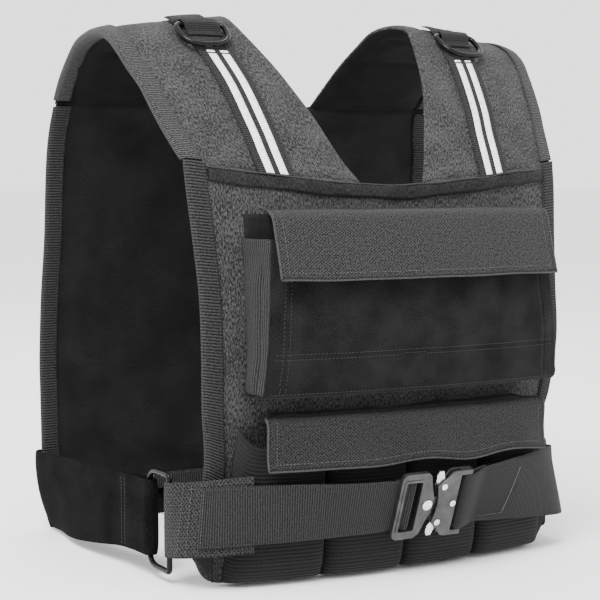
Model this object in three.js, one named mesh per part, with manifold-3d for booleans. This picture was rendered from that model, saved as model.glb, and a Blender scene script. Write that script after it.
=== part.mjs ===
// Weighted vest: two padded panels joined over the shoulders by wide pads, hollow weight pouches
// on the chest, and a waist belt that closes with a metal side-release buckle.
// Millimetres. +Z is up, -Y is the front, +X is the right of the front view.
// The origin lies midway between the two shoulder pads, where they rest on the shoulders.

import * as THREE from 'three';
import Module from 'manifold-3d';
import { mergeVertices } from 'three/addons/utils/BufferGeometryUtils.js';

const wasm = await Module();
wasm.setup();

// Cloth and gaps
const pieceGap = 0.4; // clearance between two pieces that touch
const padThickness = 10; // quilted panel
const shoulderPadThickness = 12;
const edgeThickness = 6; // a pad where its binding squeezes it
const tapeGap = 0.5; // binding tape to the pad inside it
const tapeThickness = 1.2; // binding tape
const tapeWidth = 15; // how far a binding tape reaches in from the edge
const taperStart = 10; // a pad begins to thicken this far inside its tape
const clothThickness = 3; // pouch walls and flaps
const pocketWall = 2;
const webThickness = 1.6; // webbing
const layerGap = 1.1; // between two layers of web that curve together
const beltThickness = 4; // napped strap round the back

// Front panel
const chestHalfWidth = 191; // at the armhole hem
const waistHalfWidth = 174; // at its narrowest, above the belt
const hemHalfWidth = 186; // near the lower edge
const frontPanelHeight = 356; // armhole hem to lower edge
const frontReach = 120; // side edge of the panel in front of the shoulder crest, at the armhole hem
const chestLean = 18; // how much further forward the side edge gets below the hem
const chestBow = 20; // how far the middle stands in front of the side edges
const hemDip = 18; // how much lower the collar is than the ends of the armhole hem
const frontCornerRadius = 24;

// Back panel
const backHalfWidth = 210;
const backPanelHeight = 386;
const backReach = 118; // inner face at the top side edge, behind the shoulder crest
const backLean = 45;
const backBow = 19;
const collarDip = 8; // scoop of the back neckline
const backCornerRadius = 52;

// Shoulder pads
const shoulderHalfWidth = 218; // arm edge at the widest
const neckHalfWidth = 95; // neck edge at the crest
const frontCollarHalf = 32; // neck edge at the chest
const backCollarHalf = 67; // neck edge at the back seam
const crestRise = 16; // outside of the neck edge above the origin
const shoulderSlope = 17; // how much lower the arm edge is than the neck edge at the crest
const armCrestToHem = 119; // arm edge: crest down to the armhole hem
const armCrestToSeam = 62; // arm edge: crest down to the back seam
const padCrown = 4; // how far a pad stands out between its edges

// Shoulder webbing and D-rings
const shoulderWebWidth = 34;
const stripeWidth = 8;
const stripeSpacing = 12;
const stripeThickness = 0.5;
const ringWire = 5;
const ringWidth = 50;
const ringDepth = 36;
const barLift = 3.4; // centre of the ring's bar above the webbing
const ringTipLift = 6; // centre of the ring's bow above the webbing
const ringBend = 6; // corners at the ends of the bar
const ringRoundness = 2.6; // power of the bow: 2 is an ellipse, more is squarer
const keeperWidth = 33;
const keeperReach = 15; // how far the keeper runs on, before and behind the bar

// Pouches
const upperFlapTop = 38; // below the ends of the armhole hem
const upperFlapHeight = 57;
const upperPouchHeight = 132;
const upperPouchDrop = 24; // pouch mouth below the flap's roof
const upperPouchDepth = 38;
const upperFlapHalf = 141;
const pouchTopHalf = 141;
const pouchBottomHalf = 151;
const pouchRootHalf = 149; // side walls where they meet the panel
const upperFlapFlare = 9; // how far the flap's lower edge stands off
const lowerFlapTop = 210;
const lowerFlapHeight = 45;
const lowerFlapHalf = 143;
const lowerFlapDepth = 31;
const lowerFlapFlare = 10;
const pocketCount = 4;
const pocketPitch = 79;
const pocketTop = 222;
const pocketHeight = 132;
const pocketTopDepth = 28;
const pocketBottomDepth = 23;
const endPocketTopHalf = 152; // outer side of the two end pockets at their mouth
const endPocketBottomHalf = 164;

// Waist belt
const beltDrop = 291; // belt's centre line below the ends of the armhole hem
const wideWebHeight = 64;
const narrowWebHeight = 50;
const narrowWebStartX = 187;
const wideWebEndX = 150;
const ringSag = 10; // how much lower the front web is at the side rings
const beltReach = 182; // front web's centre line in front of the shoulder crest
const sideRingX = 200;
const sideRingBarY = 101; // the ring's bar in front of the shoulder crest
const sideRingHeight = 88;
const sideRingDepth = 46;
const sideRingWire = 5;
const sideRingDrop = 14; // centre of the ring below the belt's centre line
const sideRingRoundness = 5;
const sideRingBend = 3; // corners at the ends of the bar
const backBeltHeight = 76;
const backBeltRingHeight = 66; // where it goes round the ring
const backBeltOverlap = 55; // length of its second layer behind the ring
const backBeltStand = 0.4; // gap to the back panel
const backBeltSag = 13; // how much lower it hangs at the back than at the side rings

// Buckle
const buckleLean = 20; // degrees, top edge forward
const buckleHeight = 64;
const maleLeft = -27; // outer side of the male frame
const frameThickness = 4;
const slotHeight = 48;
const slotLeft = -22;
const slotRight = -6;
const ridgeWidth = 2.2; // raised rim round the slot
const ridgeRise = 0.8;
const centreBarX = -14;
const centreBarWidth = 2.8;
const centreBarDepth = 1.8; // its middle behind the middle of the frame
const tongueThickness = 2.2;
const tongueTipX = 24;
const tongueHalf = 7;
const plateThickness = 2;
const plateSpacing = 3.2; // room between the two plates of the female half
const femaleRight = 44;
const plateRight = 33; // right side of the plates between the arms
const armHeight = 4.5;
const femaleBarX = 40.5;
const femaleBarWidth = 3;
const barBlend = 28; // length over which the right web rises to the female bar
const waistRise = 23; // where the plates are narrowest, above and below the centre line
const stepX = 23; // sloping shoulder of the plates, from here to the next
const shoulderX = 27;
const spacerWidth = 6;
const leverThickness = 2.2;
const pivotX = 17; // lever pivots
const pivotRise = 17.5; // above and below the centre line
const rivetShaft = 1.5;
const rivetClearance = 0.4;
const rivetHead = 3;
const rivetHeadHeight = 0.9;
const tongueRivetX = 4;
const tongueRivetHead = 5;
const plateRivetX = 29.5;

// Sections of the front panel, from the armhole hem down. drop is a share of the panel's height,
// lean of chestLean, bow of chestBow; chest and hem are shares of the extra half width there.
const frontRows = [
  { drop: 0, lean: 0, bow: 0.92, chest: 1, hem: 0 },
  { drop: 0.06, lean: 0.19, bow: 0.95, chest: 0.95, hem: 0 },
  { drop: 0.18, lean: 0.5, bow: 1, chest: 0.76, hem: 0 },
  { drop: 0.31, lean: 0.83, bow: 1, chest: 0.6, hem: 0 },
  { drop: 0.45, lean: 1, bow: 1, chest: 0.58, hem: 0 },
  { drop: 0.59, lean: 0.66, bow: 1, chest: 0.38, hem: 0 },
  { drop: 0.66, lean: 0.36, bow: 1, chest: 0.12, hem: 0 },
  { drop: 0.73, lean: 0.22, bow: 1.05, chest: 0, hem: 0.1 },
  { drop: 0.82, lean: 0.22, bow: 1.1, chest: 0, hem: 0.5 },
  { drop: 0.91, lean: 0.11, bow: 1.15, chest: 0, hem: 1 },
  { drop: 1, lean: 0, bow: 1.1, chest: 0, hem: 1 },
];

// Sections of the back panel, from the shoulder seam down, as shares in the same way
const backRows = [
  { drop: 0, lean: 0, bow: 0 },
  { drop: 0.05, lean: 0.24, bow: 0.2 },
  { drop: 0.1, lean: 0.4, bow: 0.45 },
  { drop: 0.17, lean: 0.51, bow: 0.7 },
  { drop: 0.33, lean: 0.64, bow: 1 },
  { drop: 0.48, lean: 0.87, bow: 1 },
  { drop: 0.64, lean: 1, bow: 1 },
  { drop: 0.71, lean: 0.98, bow: 1 },
  { drop: 0.87, lean: 0.93, bow: 1 },
  { drop: 1, lean: 0.9, bow: 1 },
];

// Outside of a shoulder pad, from the chest over the crest to the back seam. Each edge has a share
// of its sideways spread, of its reach from the crest line, and of its drop below the crest.
const padRows = [
  { side: 'front', neckSpread: 0, neckReach: 1, neckDrop: 1, armSpread: 0, armReach: 1, armDrop: 1 },
  { side: 'front', neckSpread: 0.17, neckReach: 0.9, neckDrop: 0.868, armSpread: 0.19, armReach: 0.89, armDrop: 0.857 },
  { side: 'front', neckSpread: 0.3, neckReach: 0.815, neckDrop: 0.735, armSpread: 0.37, armReach: 0.78, armDrop: 0.714 },
  { side: 'front', neckSpread: 0.43, neckReach: 0.73, neckDrop: 0.603, armSpread: 0.52, armReach: 0.69, armDrop: 0.58 },
  { side: 'front', neckSpread: 0.57, neckReach: 0.624, neckDrop: 0.47, armSpread: 0.67, armReach: 0.567, armDrop: 0.412 },
  { side: 'front', neckSpread: 0.7, neckReach: 0.504, neckDrop: 0.338, armSpread: 0.85, armReach: 0.44, armDrop: 0.277 },
  { side: 'front', neckSpread: 0.81, neckReach: 0.376, neckDrop: 0.225, armSpread: 0.96, armReach: 0.333, armDrop: 0.16 },
  { side: 'front', neckSpread: 0.92, neckReach: 0.248, neckDrop: 0.119, armSpread: 1, armReach: 0.2, armDrop: 0.067 },
  { side: 'front', neckSpread: 1, neckReach: 0.113, neckDrop: 0.026, armSpread: 0.96, armReach: 0.05, armDrop: 0.017 },
  { side: 'back', neckSpread: 0.82, neckReach: 0.06, neckDrop: 0, armSpread: 0.5, armReach: 0.125, armDrop: 0 },
  { side: 'back', neckSpread: 0.61, neckReach: 0.25, neckDrop: 0.05, armSpread: 0.25, armReach: 0.31, armDrop: 0.016 },
  { side: 'back', neckSpread: 0.61, neckReach: 0.49, neckDrop: 0.228, armSpread: 0.25, armReach: 0.53, armDrop: 0.129 },
  { side: 'back', neckSpread: 0.46, neckReach: 0.68, neckDrop: 0.443, armSpread: 0.25, armReach: 0.69, armDrop: 0.355 },
  { side: 'back', neckSpread: 0.29, neckReach: 0.85, neckDrop: 0.696, armSpread: 0.25, armReach: 0.845, armDrop: 0.66 },
  { side: 'back', neckSpread: 0, neckReach: 1, neckDrop: 1, armSpread: 0, armReach: 1, armDrop: 1 },
];

// Places along a shoulder pad, as shares of the way from the chest to the back seam
const ringBarPlace = 0.5;
const stripeEndPlace = 0.4;
const webEndPlace = 0.6;

// Where the shoulder webbing runs across the pad: share of the way from the neck edge to the arm edge
const webRows = [
  { along: 0, across: 0.51 },
  { along: 0.11, across: 0.46 },
  { along: 0.21, across: 0.43 },
  { along: 0.3, across: 0.4 },
  { along: 0.4, across: 0.375 },
  { along: 0.5, across: 0.36 },
  { along: 0.65, across: 0.36 },
];

// The front web, from the side ring's bar to the middle of the front. across is a share of the
// ring's distance out, reach of the way forward, lean of the buckle's lean, sag of ringSag, and
// width the share of the extra height that a wide web has.
const beltRows = [
  { along: 0, across: 1, reach: 0, lean: 0, sag: 1, width: 1 },
  { along: 0.1, across: 0.995, reach: 0.136, lean: -0.15, sag: 0.9, width: 1 },
  { along: 0.2, across: 0.972, reach: 0.29, lean: -0.55, sag: 0.7, width: 1 },
  { along: 0.32, across: 0.885, reach: 0.55, lean: -0.45, sag: 0.35, width: 1 },
  { along: 0.42, across: 0.76, reach: 0.72, lean: 0, sag: 0.1, width: 0.9 },
  { along: 0.55, across: 0.58, reach: 0.865, lean: 0.4, sag: 0, width: 0.5 },
  { along: 0.7, across: 0.38, reach: 0.96, lean: 0.85, sag: 0, width: 0.1 },
  { along: 0.8, across: 0.25, reach: 1, lean: 1, sag: 0, width: 0 },
  { along: 0.9, across: 0.125, reach: 1, lean: 1, sag: 0, width: 0 },
  { along: 1, across: 0, reach: 1, lean: 1, sag: 0, width: 0 },
];

// The strap round the side, from the ring to the corner of the back panel: share of the ring's
// distance out, of the way from the ring's bow back to the crest of the back belt, and of the sag
const sideRows = [
  { along: 0, across: 1, reach: 0, sag: 0 },
  { along: 0.08, across: 1.003, reach: 0.075, sag: 0 },
  { along: 0.15, across: 1.02, reach: 0.14, sag: 0.02 },
  { along: 0.35, across: 1.05, reach: 0.34, sag: 0.25 },
  { along: 0.6, across: 1.07, reach: 0.66, sag: 0.65 },
  { along: 0.75, across: 1.078, reach: 0.85, sag: 0.86 },
  { along: 0.85, across: 1.076, reach: 0.945, sag: 0.96 },
  { along: 0.92, across: 1.04, reach: 1, sag: 1 },
  { along: 1, across: 0.9, reach: 1, sag: 1 },
];

// Outline of the right upper quarter of a lever, from its pivot: along the buckle, up
const leverRows = [
  { right: -7.8, up: 4.5 },
  { right: -4.8, up: 0 },
  { right: -3.6, up: -5 },
  { right: -0.5, up: -6.8 },
  { right: 3.5, up: -4.5 },
  { right: 4.5, up: 1.5 },
  { right: -0.5, up: 9.5 },
  { right: -2, up: 14.2 },
  { right: -6.5, up: 14 },
  { right: -8.2, up: 10 },
];

// Colours, roughness and metalness
const finishes = {
  shell: { color: 0x2b2c2f, roughness: 0.92, metalness: 0 },
  lining: { color: 0x17181a, roughness: 0.95, metalness: 0 },
  tape: { color: 0x242527, roughness: 0.88, metalness: 0 },
  loop: { color: 0x1b1c1e, roughness: 0.97, metalness: 0 },
  flap: { color: 0x34353a, roughness: 0.9, metalness: 0 },
  webbing: { color: 0x2e2f32, roughness: 0.85, metalness: 0 },
  reflective: { color: 0xd9dadb, roughness: 0.45, metalness: 0 },
  nap: { color: 0x151618, roughness: 0.98, metalness: 0 },
  blackMetal: { color: 0x1a1b1d, roughness: 0.35, metalness: 0.8 },
  brightMetal: { color: 0xc9cbcd, roughness: 0.3, metalness: 1 },
};

const front = new THREE.Vector3(0, -1, 0);
const back = new THREE.Vector3(0, 1, 0);
const hemZ = crestRise - shoulderSlope - armCrestToHem; // ends of the armhole hem
const seamZ = crestRise - shoulderSlope - armCrestToSeam; // back shoulder seam

// Value of one column of a table at a share of the way along it, as a smooth cubic through the rows
function smoothColumn(rows, keyName, columnName, share) {
  const last = rows.length - 1;
  let row = 0;
  while (row < last - 1 && share > rows[row + 1][keyName]) row += 1;
  const slopeAt = (index) => {
    const low = rows[Math.max(index - 1, 0)];
    const high = rows[Math.min(index + 1, last)];
    return (high[columnName] - low[columnName]) / (high[keyName] - low[keyName]);
  };
  const start = rows[row];
  const end = rows[row + 1];
  const span = end[keyName] - start[keyName];
  const t = THREE.MathUtils.clamp((share - start[keyName]) / span, 0, 1);
  const t2 = t * t;
  const t3 = t2 * t;
  const startPart = (2 * t3 - 3 * t2 + 1) * start[columnName] + (t3 - 2 * t2 + t) * span * slopeAt(row);
  const endPart = (3 * t2 - 2 * t3) * end[columnName] + (t3 - t2) * span * slopeAt(row + 1);
  return startPart + endPart;
}

// Evenly spaced shares from 0 to 1
function shares(count) {
  return Array.from({ length: count + 1 }, (unused, index) => index / count);
}

// A geometry from corner points and triangles, turned so that its faces point outwards
function closedGeometry(points, triangles) {
  let volume = 0;
  const across = new THREE.Vector3();
  for (const [a, b, c] of triangles) {
    volume += points[a].dot(across.crossVectors(points[b], points[c]));
  }
  const faces = volume < 0 ? triangles.map(([a, b, c]) => [a, c, b]) : triangles;
  const geometry = new THREE.BufferGeometry();
  const positions = new THREE.Float32BufferAttribute(points.length * 3, 3);
  points.forEach((point, index) => positions.setXYZ(index, point.x, point.y, point.z));
  geometry.setAttribute('position', positions);
  geometry.setIndex(faces.flat());
  geometry.computeVertexNormals();
  return geometry;
}

// A wall between two surfaces over the same two shares, closed by a rim all round
function wallGeometry(outer, inner, uShares, vShares) {
  const points = [];
  const triangles = [];
  const columns = uShares.length;
  const rows = vShares.length;
  for (const surface of [outer, inner]) {
    for (const v of vShares) {
      for (const u of uShares) points.push(surface(u, v));
    }
  }
  const at = (layer, column, row) => (layer * rows + row) * columns + column;
  const quad = (a, b, c, d) => triangles.push([a, b, c], [a, c, d]);
  for (let row = 0; row < rows - 1; row += 1) {
    for (let column = 0; column < columns - 1; column += 1) {
      const next = column + 1;
      if (uShares[column] + uShares[next] > 1) {
        quad(at(0, column, row), at(0, next, row), at(0, next, row + 1), at(0, column, row + 1));
        quad(at(1, next, row), at(1, column, row), at(1, column, row + 1), at(1, next, row + 1));
      } else {
        quad(at(0, next, row), at(0, next, row + 1), at(0, column, row + 1), at(0, column, row));
        quad(at(1, column, row), at(1, column, row + 1), at(1, next, row + 1), at(1, next, row));
      }
    }
  }
  for (let row = 0; row < rows - 1; row += 1) {
    const far = columns - 1;
    quad(at(0, 0, row), at(0, 0, row + 1), at(1, 0, row + 1), at(1, 0, row));
    quad(at(0, far, row), at(1, far, row), at(1, far, row + 1), at(0, far, row + 1));
  }
  for (let column = 0; column < columns - 1; column += 1) {
    const far = rows - 1;
    quad(at(0, column, 0), at(1, column, 0), at(1, column + 1, 0), at(0, column + 1, 0));
    quad(at(0, column, far), at(0, column + 1, far), at(1, column + 1, far), at(1, column, far));
  }
  return closedGeometry(points, triangles);
}

// A body through a row of like sections; outline is the flat shape that closes its two ends.
// With no outline, the last section runs on into the first, as on a ring.
function sweptGeometry(sections, outline) {
  const points = sections.flat();
  const triangles = [];
  const size = sections[0].length;
  const steps = outline ? sections.length - 1 : sections.length;
  for (let step = 0; step < steps; step += 1) {
    const next = (step + 1) % sections.length;
    for (let corner = 0; corner < size; corner += 1) {
      const beside = (corner + 1) % size;
      const a = step * size + corner;
      const b = step * size + beside;
      const c = next * size + beside;
      const d = next * size + corner;
      triangles.push([a, b, c], [a, c, d]);
    }
  }
  if (outline) {
    const lastStart = (sections.length - 1) * size;
    const turned = THREE.ShapeUtils.area(outline) < 0;
    for (const [a, b, c] of THREE.ShapeUtils.triangulateShape(outline, [])) {
      const cap = turned ? [a, c, b] : [a, b, c];
      triangles.push([cap[0], cap[2], cap[1]]);
      triangles.push([lastStart + cap[0], lastStart + cap[1], lastStart + cap[2]]);
    }
  }
  return closedGeometry(points, triangles);
}

// The same piece on the other side of the vest
function mirrored(geometry) {
  const copy = geometry.clone();
  copy.scale(-1, 1, 1);
  const index = copy.getIndex();
  for (let corner = 0; corner < index.count; corner += 3) {
    const kept = index.getX(corner + 1);
    index.setX(corner + 1, index.getX(corner + 2));
    index.setX(corner + 2, kept);
  }
  copy.computeVertexNormals();
  return copy;
}

const vest = new THREE.Group();

function addPiece(name, geometry, finish, parent = vest) {
  const mesh = new THREE.Mesh(geometry, new THREE.MeshStandardMaterial(finishes[finish]));
  mesh.name = name;
  parent.add(mesh);
  return mesh;
}

function addPair(name, rightGeometry, finish) {
  addPiece(`${name}_right`, rightGeometry, finish);
  addPiece(`${name}_left`, mirrored(rightGeometry), finish);
}

// Front panel surface

function frontShare(z) {
  return (hemZ - z) / frontPanelHeight;
}

function frontHalf(z) {
  const share = frontShare(z);
  const chestPart = smoothColumn(frontRows, 'drop', 'chest', share) * (chestHalfWidth - waistHalfWidth);
  const hemPart = smoothColumn(frontRows, 'drop', 'hem', share) * (hemHalfWidth - waistHalfWidth);
  return waistHalfWidth + chestPart + hemPart;
}

// Outside of the front panel at a place across and a height
function frontY(x, z) {
  const share = frontShare(z);
  const lean = smoothColumn(frontRows, 'drop', 'lean', share) * chestLean;
  const bow = smoothColumn(frontRows, 'drop', 'bow', share) * chestBow;
  return -frontReach - lean - bow * (1 - (x / frontHalf(z)) ** 2);
}

// A point that stands off the front panel's outside by a depth
function offFront(x, depth, z) {
  return new THREE.Vector3(x, frontY(x, z) - depth, z);
}

function hemLineZ(x) {
  return hemZ - hemDip * (1 - Math.min(Math.abs(x) / chestHalfWidth, 1) ** 1.4);
}

// Lower edge of a panel with rounded corners: how far it rises at a place across
function cornerRise(x, halfWidth, radius) {
  const into = Math.abs(x) - (halfWidth - radius);
  return into > 0 ? radius - Math.sqrt(Math.max(radius ** 2 - into ** 2, 0)) : 0;
}

// Thickness of a pad at a distance in from its bound edge
function edgeTaper(distance, full) {
  const share = THREE.MathUtils.clamp((distance - tapeWidth - taperStart) / tapeWidth, 0, 1);
  return edgeThickness + (full - edgeThickness) * share;
}

// Places across a panel: bound edges, the line where each tape ends, and even steps between
function acrossShares(halfWidth, steps) {
  const tapeShare = tapeWidth / (2 * halfWidth);
  const fullShare = 2 * tapeShare;
  const middle = shares(steps).map((share) => fullShare + share * (1 - 2 * fullShare));
  return [0, tapeShare, ...middle, 1 - tapeShare, 1];
}

const frontBottomZ = hemZ - frontPanelHeight;

function frontPanelPoint(u, v, inner) {
  const sideways = 2 * u - 1;
  const topZ = hemLineZ(sideways * chestHalfWidth) - pieceGap;
  const rise = cornerRise(sideways * hemHalfWidth, hemHalfWidth, frontCornerRadius);
  const z = THREE.MathUtils.lerp(topZ, frontBottomZ, v) + rise * v ** 4;
  const x = sideways * frontHalf(z);
  const point = offFront(x, 0, z);
  if (inner) point.y += edgeTaper(frontHalf(z) - Math.abs(x), padThickness);
  return point;
}

const frontAcross = acrossShares(chestHalfWidth, 8);
const frontDown = shares(14);
addPiece(
  'front_panel',
  wallGeometry(
    (u, v) => frontPanelPoint(u, v, false),
    (u, v) => frontPanelPoint(u, v, true),
    frontAcross,
    frontDown,
  ),
  'shell',
);

// Back panel surface: the inner face faces the wearer's back
const backBottomZ = seamZ - backPanelHeight;

function backFaceY(x, z) {
  const share = (seamZ - z) / backPanelHeight;
  const lean = smoothColumn(backRows, 'drop', 'lean', share) * backLean;
  const bow = smoothColumn(backRows, 'drop', 'bow', share) * backBow;
  return backReach + lean + bow * (1 - (x / backHalfWidth) ** 2);
}

function backPanelPoint(u, v, outer) {
  const x = (2 * u - 1) * backHalfWidth;
  const scoop = Math.max(0, 1 - (x / backCollarHalf) ** 2) * collarDip;
  const rise = cornerRise(x, backHalfWidth, backCornerRadius);
  const z = THREE.MathUtils.lerp(seamZ - pieceGap - scoop, backBottomZ, v) + rise * v ** 4;
  const point = new THREE.Vector3(x, backFaceY(x, z), z);
  if (outer) point.y += edgeTaper(backEdgeDistance(x, z), padThickness);
  return point;
}

// How far in from the bound outline a place on the back panel lies
function backEdgeDistance(x, z) {
  const beyondX = Math.abs(x) - (backHalfWidth - backCornerRadius);
  const belowZ = backBottomZ + backCornerRadius - z;
  if (beyondX > 0 && belowZ > 0) return backCornerRadius - Math.hypot(beyondX, belowZ);
  return Math.min(backHalfWidth - Math.abs(x), z - backBottomZ);
}

// Even steps across the back panel, with closer ones where the lower corners turn
function backAcross() {
  const corner = backCornerRadius / (2 * backHalfWidth);
  const tapeShare = tapeWidth / backCornerRadius;
  const cornerShares = [0, 0.05, 0.14, tapeShare, 0.6, 1].map((share) => share * corner);
  const middle = shares(6).slice(1, -1).map((share) => corner + share * (1 - 2 * corner));
  const farSide = cornerShares.map((share) => 1 - share).reverse();
  return [...cornerShares, ...middle, ...farSide];
}

// Rows down the back panel, closer where it curves in under the shoulders
const tapeRow = 1 - tapeWidth / backPanelHeight;
const backDown = [0, 0.03, 0.06, 0.1, 0.14, 0.2, 0.29, 0.4, 0.52, 0.64, 0.75, 0.86, tapeRow, 1];
addPiece(
  'back_panel',
  wallGeometry(
    (u, v) => backPanelPoint(u, v, true),
    (u, v) => backPanelPoint(u, v, false),
    backAcross(),
    backDown,
  ),
  'lining',
);

// U-shaped tape over an edge. At each station: edge and inset points of the outer and inner faces,
// the outward direction of the face and the direction out of the edge.
function tapeSection({ edgeOuter, insetOuter, edgeInner, insetInner, faceNormal, edgeOut }) {
  const lift = (point, faceSide, outwards) => point.clone()
    .addScaledVector(faceNormal, faceSide)
    .addScaledVector(edgeOut, outwards);
  const near = tapeGap;
  const far = tapeGap + tapeThickness;
  return [
    lift(insetOuter, near, 0),
    lift(edgeOuter, near, near),
    lift(edgeInner, -near, near),
    lift(insetInner, -near, 0),
    lift(insetInner, -far, 0),
    lift(edgeInner, -far, far),
    lift(edgeOuter, far, far),
    lift(insetOuter, far, 0),
  ];
}

const tapeOutline = [
  [0, 1], [4, 1], [4, -1], [0, -1], [0, -2], [5, -2], [5, 2], [0, 2],
].map(([x, y]) => new THREE.Vector2(x, y));

// Binding down the right side of the front panel
const sideways = new THREE.Vector3(1, 0, 0);
const frontBindingSections = frontDown.map((v) => {
  const insetU = 1 - tapeWidth / (2 * chestHalfWidth);
  return tapeSection({
    edgeOuter: frontPanelPoint(1, v, false),
    insetOuter: frontPanelPoint(insetU, v, false),
    edgeInner: frontPanelPoint(1, v, true),
    insetInner: frontPanelPoint(insetU, v, true),
    faceNormal: front,
    edgeOut: sideways,
  });
});
addPair('front_binding', sweptGeometry(frontBindingSections, tapeOutline), 'tape');

// Binding down the right side of the back panel, round its lower corner and along to the middle
function backBindingStation(x, z, edgeOut) {
  const faceAt = (px, pz, outer) => {
    const y = backFaceY(px, pz) + (outer ? edgeThickness : 0);
    return new THREE.Vector3(px, y, pz);
  };
  const insetX = x - edgeOut.x * tapeWidth;
  const insetZ = z - edgeOut.z * tapeWidth;
  return tapeSection({
    edgeOuter: faceAt(x, z, true),
    insetOuter: faceAt(insetX, insetZ, true),
    edgeInner: faceAt(x, z, false),
    insetInner: faceAt(insetX, insetZ, false),
    faceNormal: back,
    edgeOut,
  });
}

const cornerCentreX = backHalfWidth - backCornerRadius;
const cornerCentreZ = backBottomZ + backCornerRadius;
const backBindingSections = [
  ...backDown.slice(1).map((v) => backBindingStation(backHalfWidth, backPanelPoint(1, v, false).z, sideways)),
  ...shares(6).slice(1).map((share) => {
    const angle = share * Math.PI / 2;
    const edgeOut = new THREE.Vector3(Math.cos(angle), 0, -Math.sin(angle));
    const x = cornerCentreX + backCornerRadius * edgeOut.x;
    return backBindingStation(x, cornerCentreZ + backCornerRadius * edgeOut.z, edgeOut);
  }),
  ...shares(5).slice(1).map((share) => {
    const x = THREE.MathUtils.lerp(cornerCentreX, pieceGap / 2, share);
    return backBindingStation(x, backBottomZ, new THREE.Vector3(0, 0, -1));
  }),
];
addPair('back_binding', sweptGeometry(backBindingSections, tapeOutline), 'tape');

// Shoulder pad surface

const padEdges = { neck: [], arm: [] };
for (const row of padRows) {
  const isFront = row.side === 'front';
  const collarHalf = isFront ? frontCollarHalf : backCollarHalf;
  const panelHalf = isFront ? chestHalfWidth : backHalfWidth;
  const neckX = THREE.MathUtils.lerp(collarHalf, neckHalfWidth, row.neckSpread);
  const armX = THREE.MathUtils.lerp(panelHalf, shoulderHalfWidth, row.armSpread);
  const neckSeamZ = isFront ? hemLineZ(frontCollarHalf) : seamZ;
  const armSeamZ = isFront ? hemZ : seamZ;
  const seamY = (x, z) => (isFront ? frontY(x, z) : backFaceY(x, z) + padThickness);
  const neckCrestZ = crestRise;
  const armCrestZ = crestRise - shoulderSlope;
  padEdges.neck.push(new THREE.Vector3(
    neckX,
    row.neckReach * seamY(collarHalf, neckSeamZ),
    THREE.MathUtils.lerp(neckCrestZ, neckSeamZ, row.neckDrop),
  ));
  padEdges.arm.push(new THREE.Vector3(
    armX,
    row.armReach * seamY(panelHalf, armSeamZ),
    THREE.MathUtils.lerp(armCrestZ, armSeamZ, row.armDrop),
  ));
}
const neckEdge = new THREE.CatmullRomCurve3(padEdges.neck);
const armEdge = new THREE.CatmullRomCurve3(padEdges.arm);
const seamBlend = 0.12; // share of the pad over which it takes on the panel's bow

// How much of the panel's form the pad has, at the chest or the back end
function blendNear(end, t) {
  const away = Math.abs(t - end) / seamBlend;
  return away < 1 ? (1 - away) ** 2 : 0;
}

function padOutside(s, t) {
  const neck = neckEdge.getPoint(t);
  const arm = armEdge.getPoint(t);
  const point = neck.clone().lerp(arm, s);
  const crown = padCrown * 4 * s * (1 - s);
  const along = Math.PI * t;
  const nearFront = blendNear(0, t);
  const nearBack = blendNear(1, t);
  const free = 1 - nearFront - nearBack;
  point.y += free * crown * -Math.cos(along);
  point.z += free * crown * Math.sin(along);
  const panelZ = hemLineZ(point.x);
  point.y += nearFront * (frontY(point.x, panelZ) - padOutsideEdgeY(padEdges, 0, s));
  point.z += nearFront * (panelZ - THREE.MathUtils.lerp(padEdges.neck[0].z, padEdges.arm[0].z, s));
  const last = padRows.length - 1;
  const seamY = backFaceY(point.x, seamZ) + padThickness;
  point.y += nearBack * (seamY - padOutsideEdgeY(padEdges, last, s));
  return point;
}

function padOutsideEdgeY(edges, row, s) {
  return THREE.MathUtils.lerp(edges.neck[row].y, edges.arm[row].y, s);
}

// Direction out of the pad's outside
function padNormal(s, t) {
  const step = 0.01;
  const s0 = Math.max(s - step, 0);
  const s1 = Math.min(s + step, 1);
  const t0 = Math.max(t - step, 0);
  const t1 = Math.min(t + step, 1);
  const acrossPad = padOutside(s1, t).sub(padOutside(s0, t));
  const alongPad = padOutside(s, t1).sub(padOutside(s, t0));
  const normal = acrossPad.cross(alongPad).normalize();
  normal.lerp(front, blendNear(0, t));
  normal.lerp(back, blendNear(1, t));
  return normal.normalize();
}

const neckRim = 0.07; // share of the width over which the neck edge rounds off

function padInside(s, t) {
  const full = THREE.MathUtils.lerp(shoulderPadThickness, padThickness, blendNear(0, t) + blendNear(1, t));
  const armTaper = s > 0.9 ? edgeThickness : full;
  const thickness = s < neckRim ? THREE.MathUtils.lerp(edgeThickness, full, s / neckRim) : armTaper;
  return padOutside(s, t).addScaledVector(padNormal(s, t), -thickness);
}

const padAcross = [0, neckRim, 0.22, 0.4, 0.6, 0.8, 0.905, 1];
const padAlong = shares(20);
addPair('shoulder_pad', wallGeometry(padOutside, padInside, padAcross, padAlong), 'shell');

// Binding along the arm edge of the pad
const padBindingSections = padAlong.slice(1, -1).map((t) => {
  const insetS = 0.905;
  const edgeOuter = padOutside(1, t);
  const insetOuter = padOutside(insetS, t);
  return tapeSection({
    edgeOuter,
    insetOuter,
    edgeInner: padInside(1, t),
    insetInner: padInside(insetS, t),
    faceNormal: padNormal(1, t),
    edgeOut: edgeOuter.clone().sub(insetOuter).normalize(),
  });
});
addPair('pad_binding', sweptGeometry(padBindingSections, tapeOutline), 'tape');

function stripOutline(columns) {
  return [...columns.map((side) => [side, 0]), ...columns.map((side) => [side, 1]).reverse()]
    .map(([x, y]) => new THREE.Vector2(x, y));
}

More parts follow.
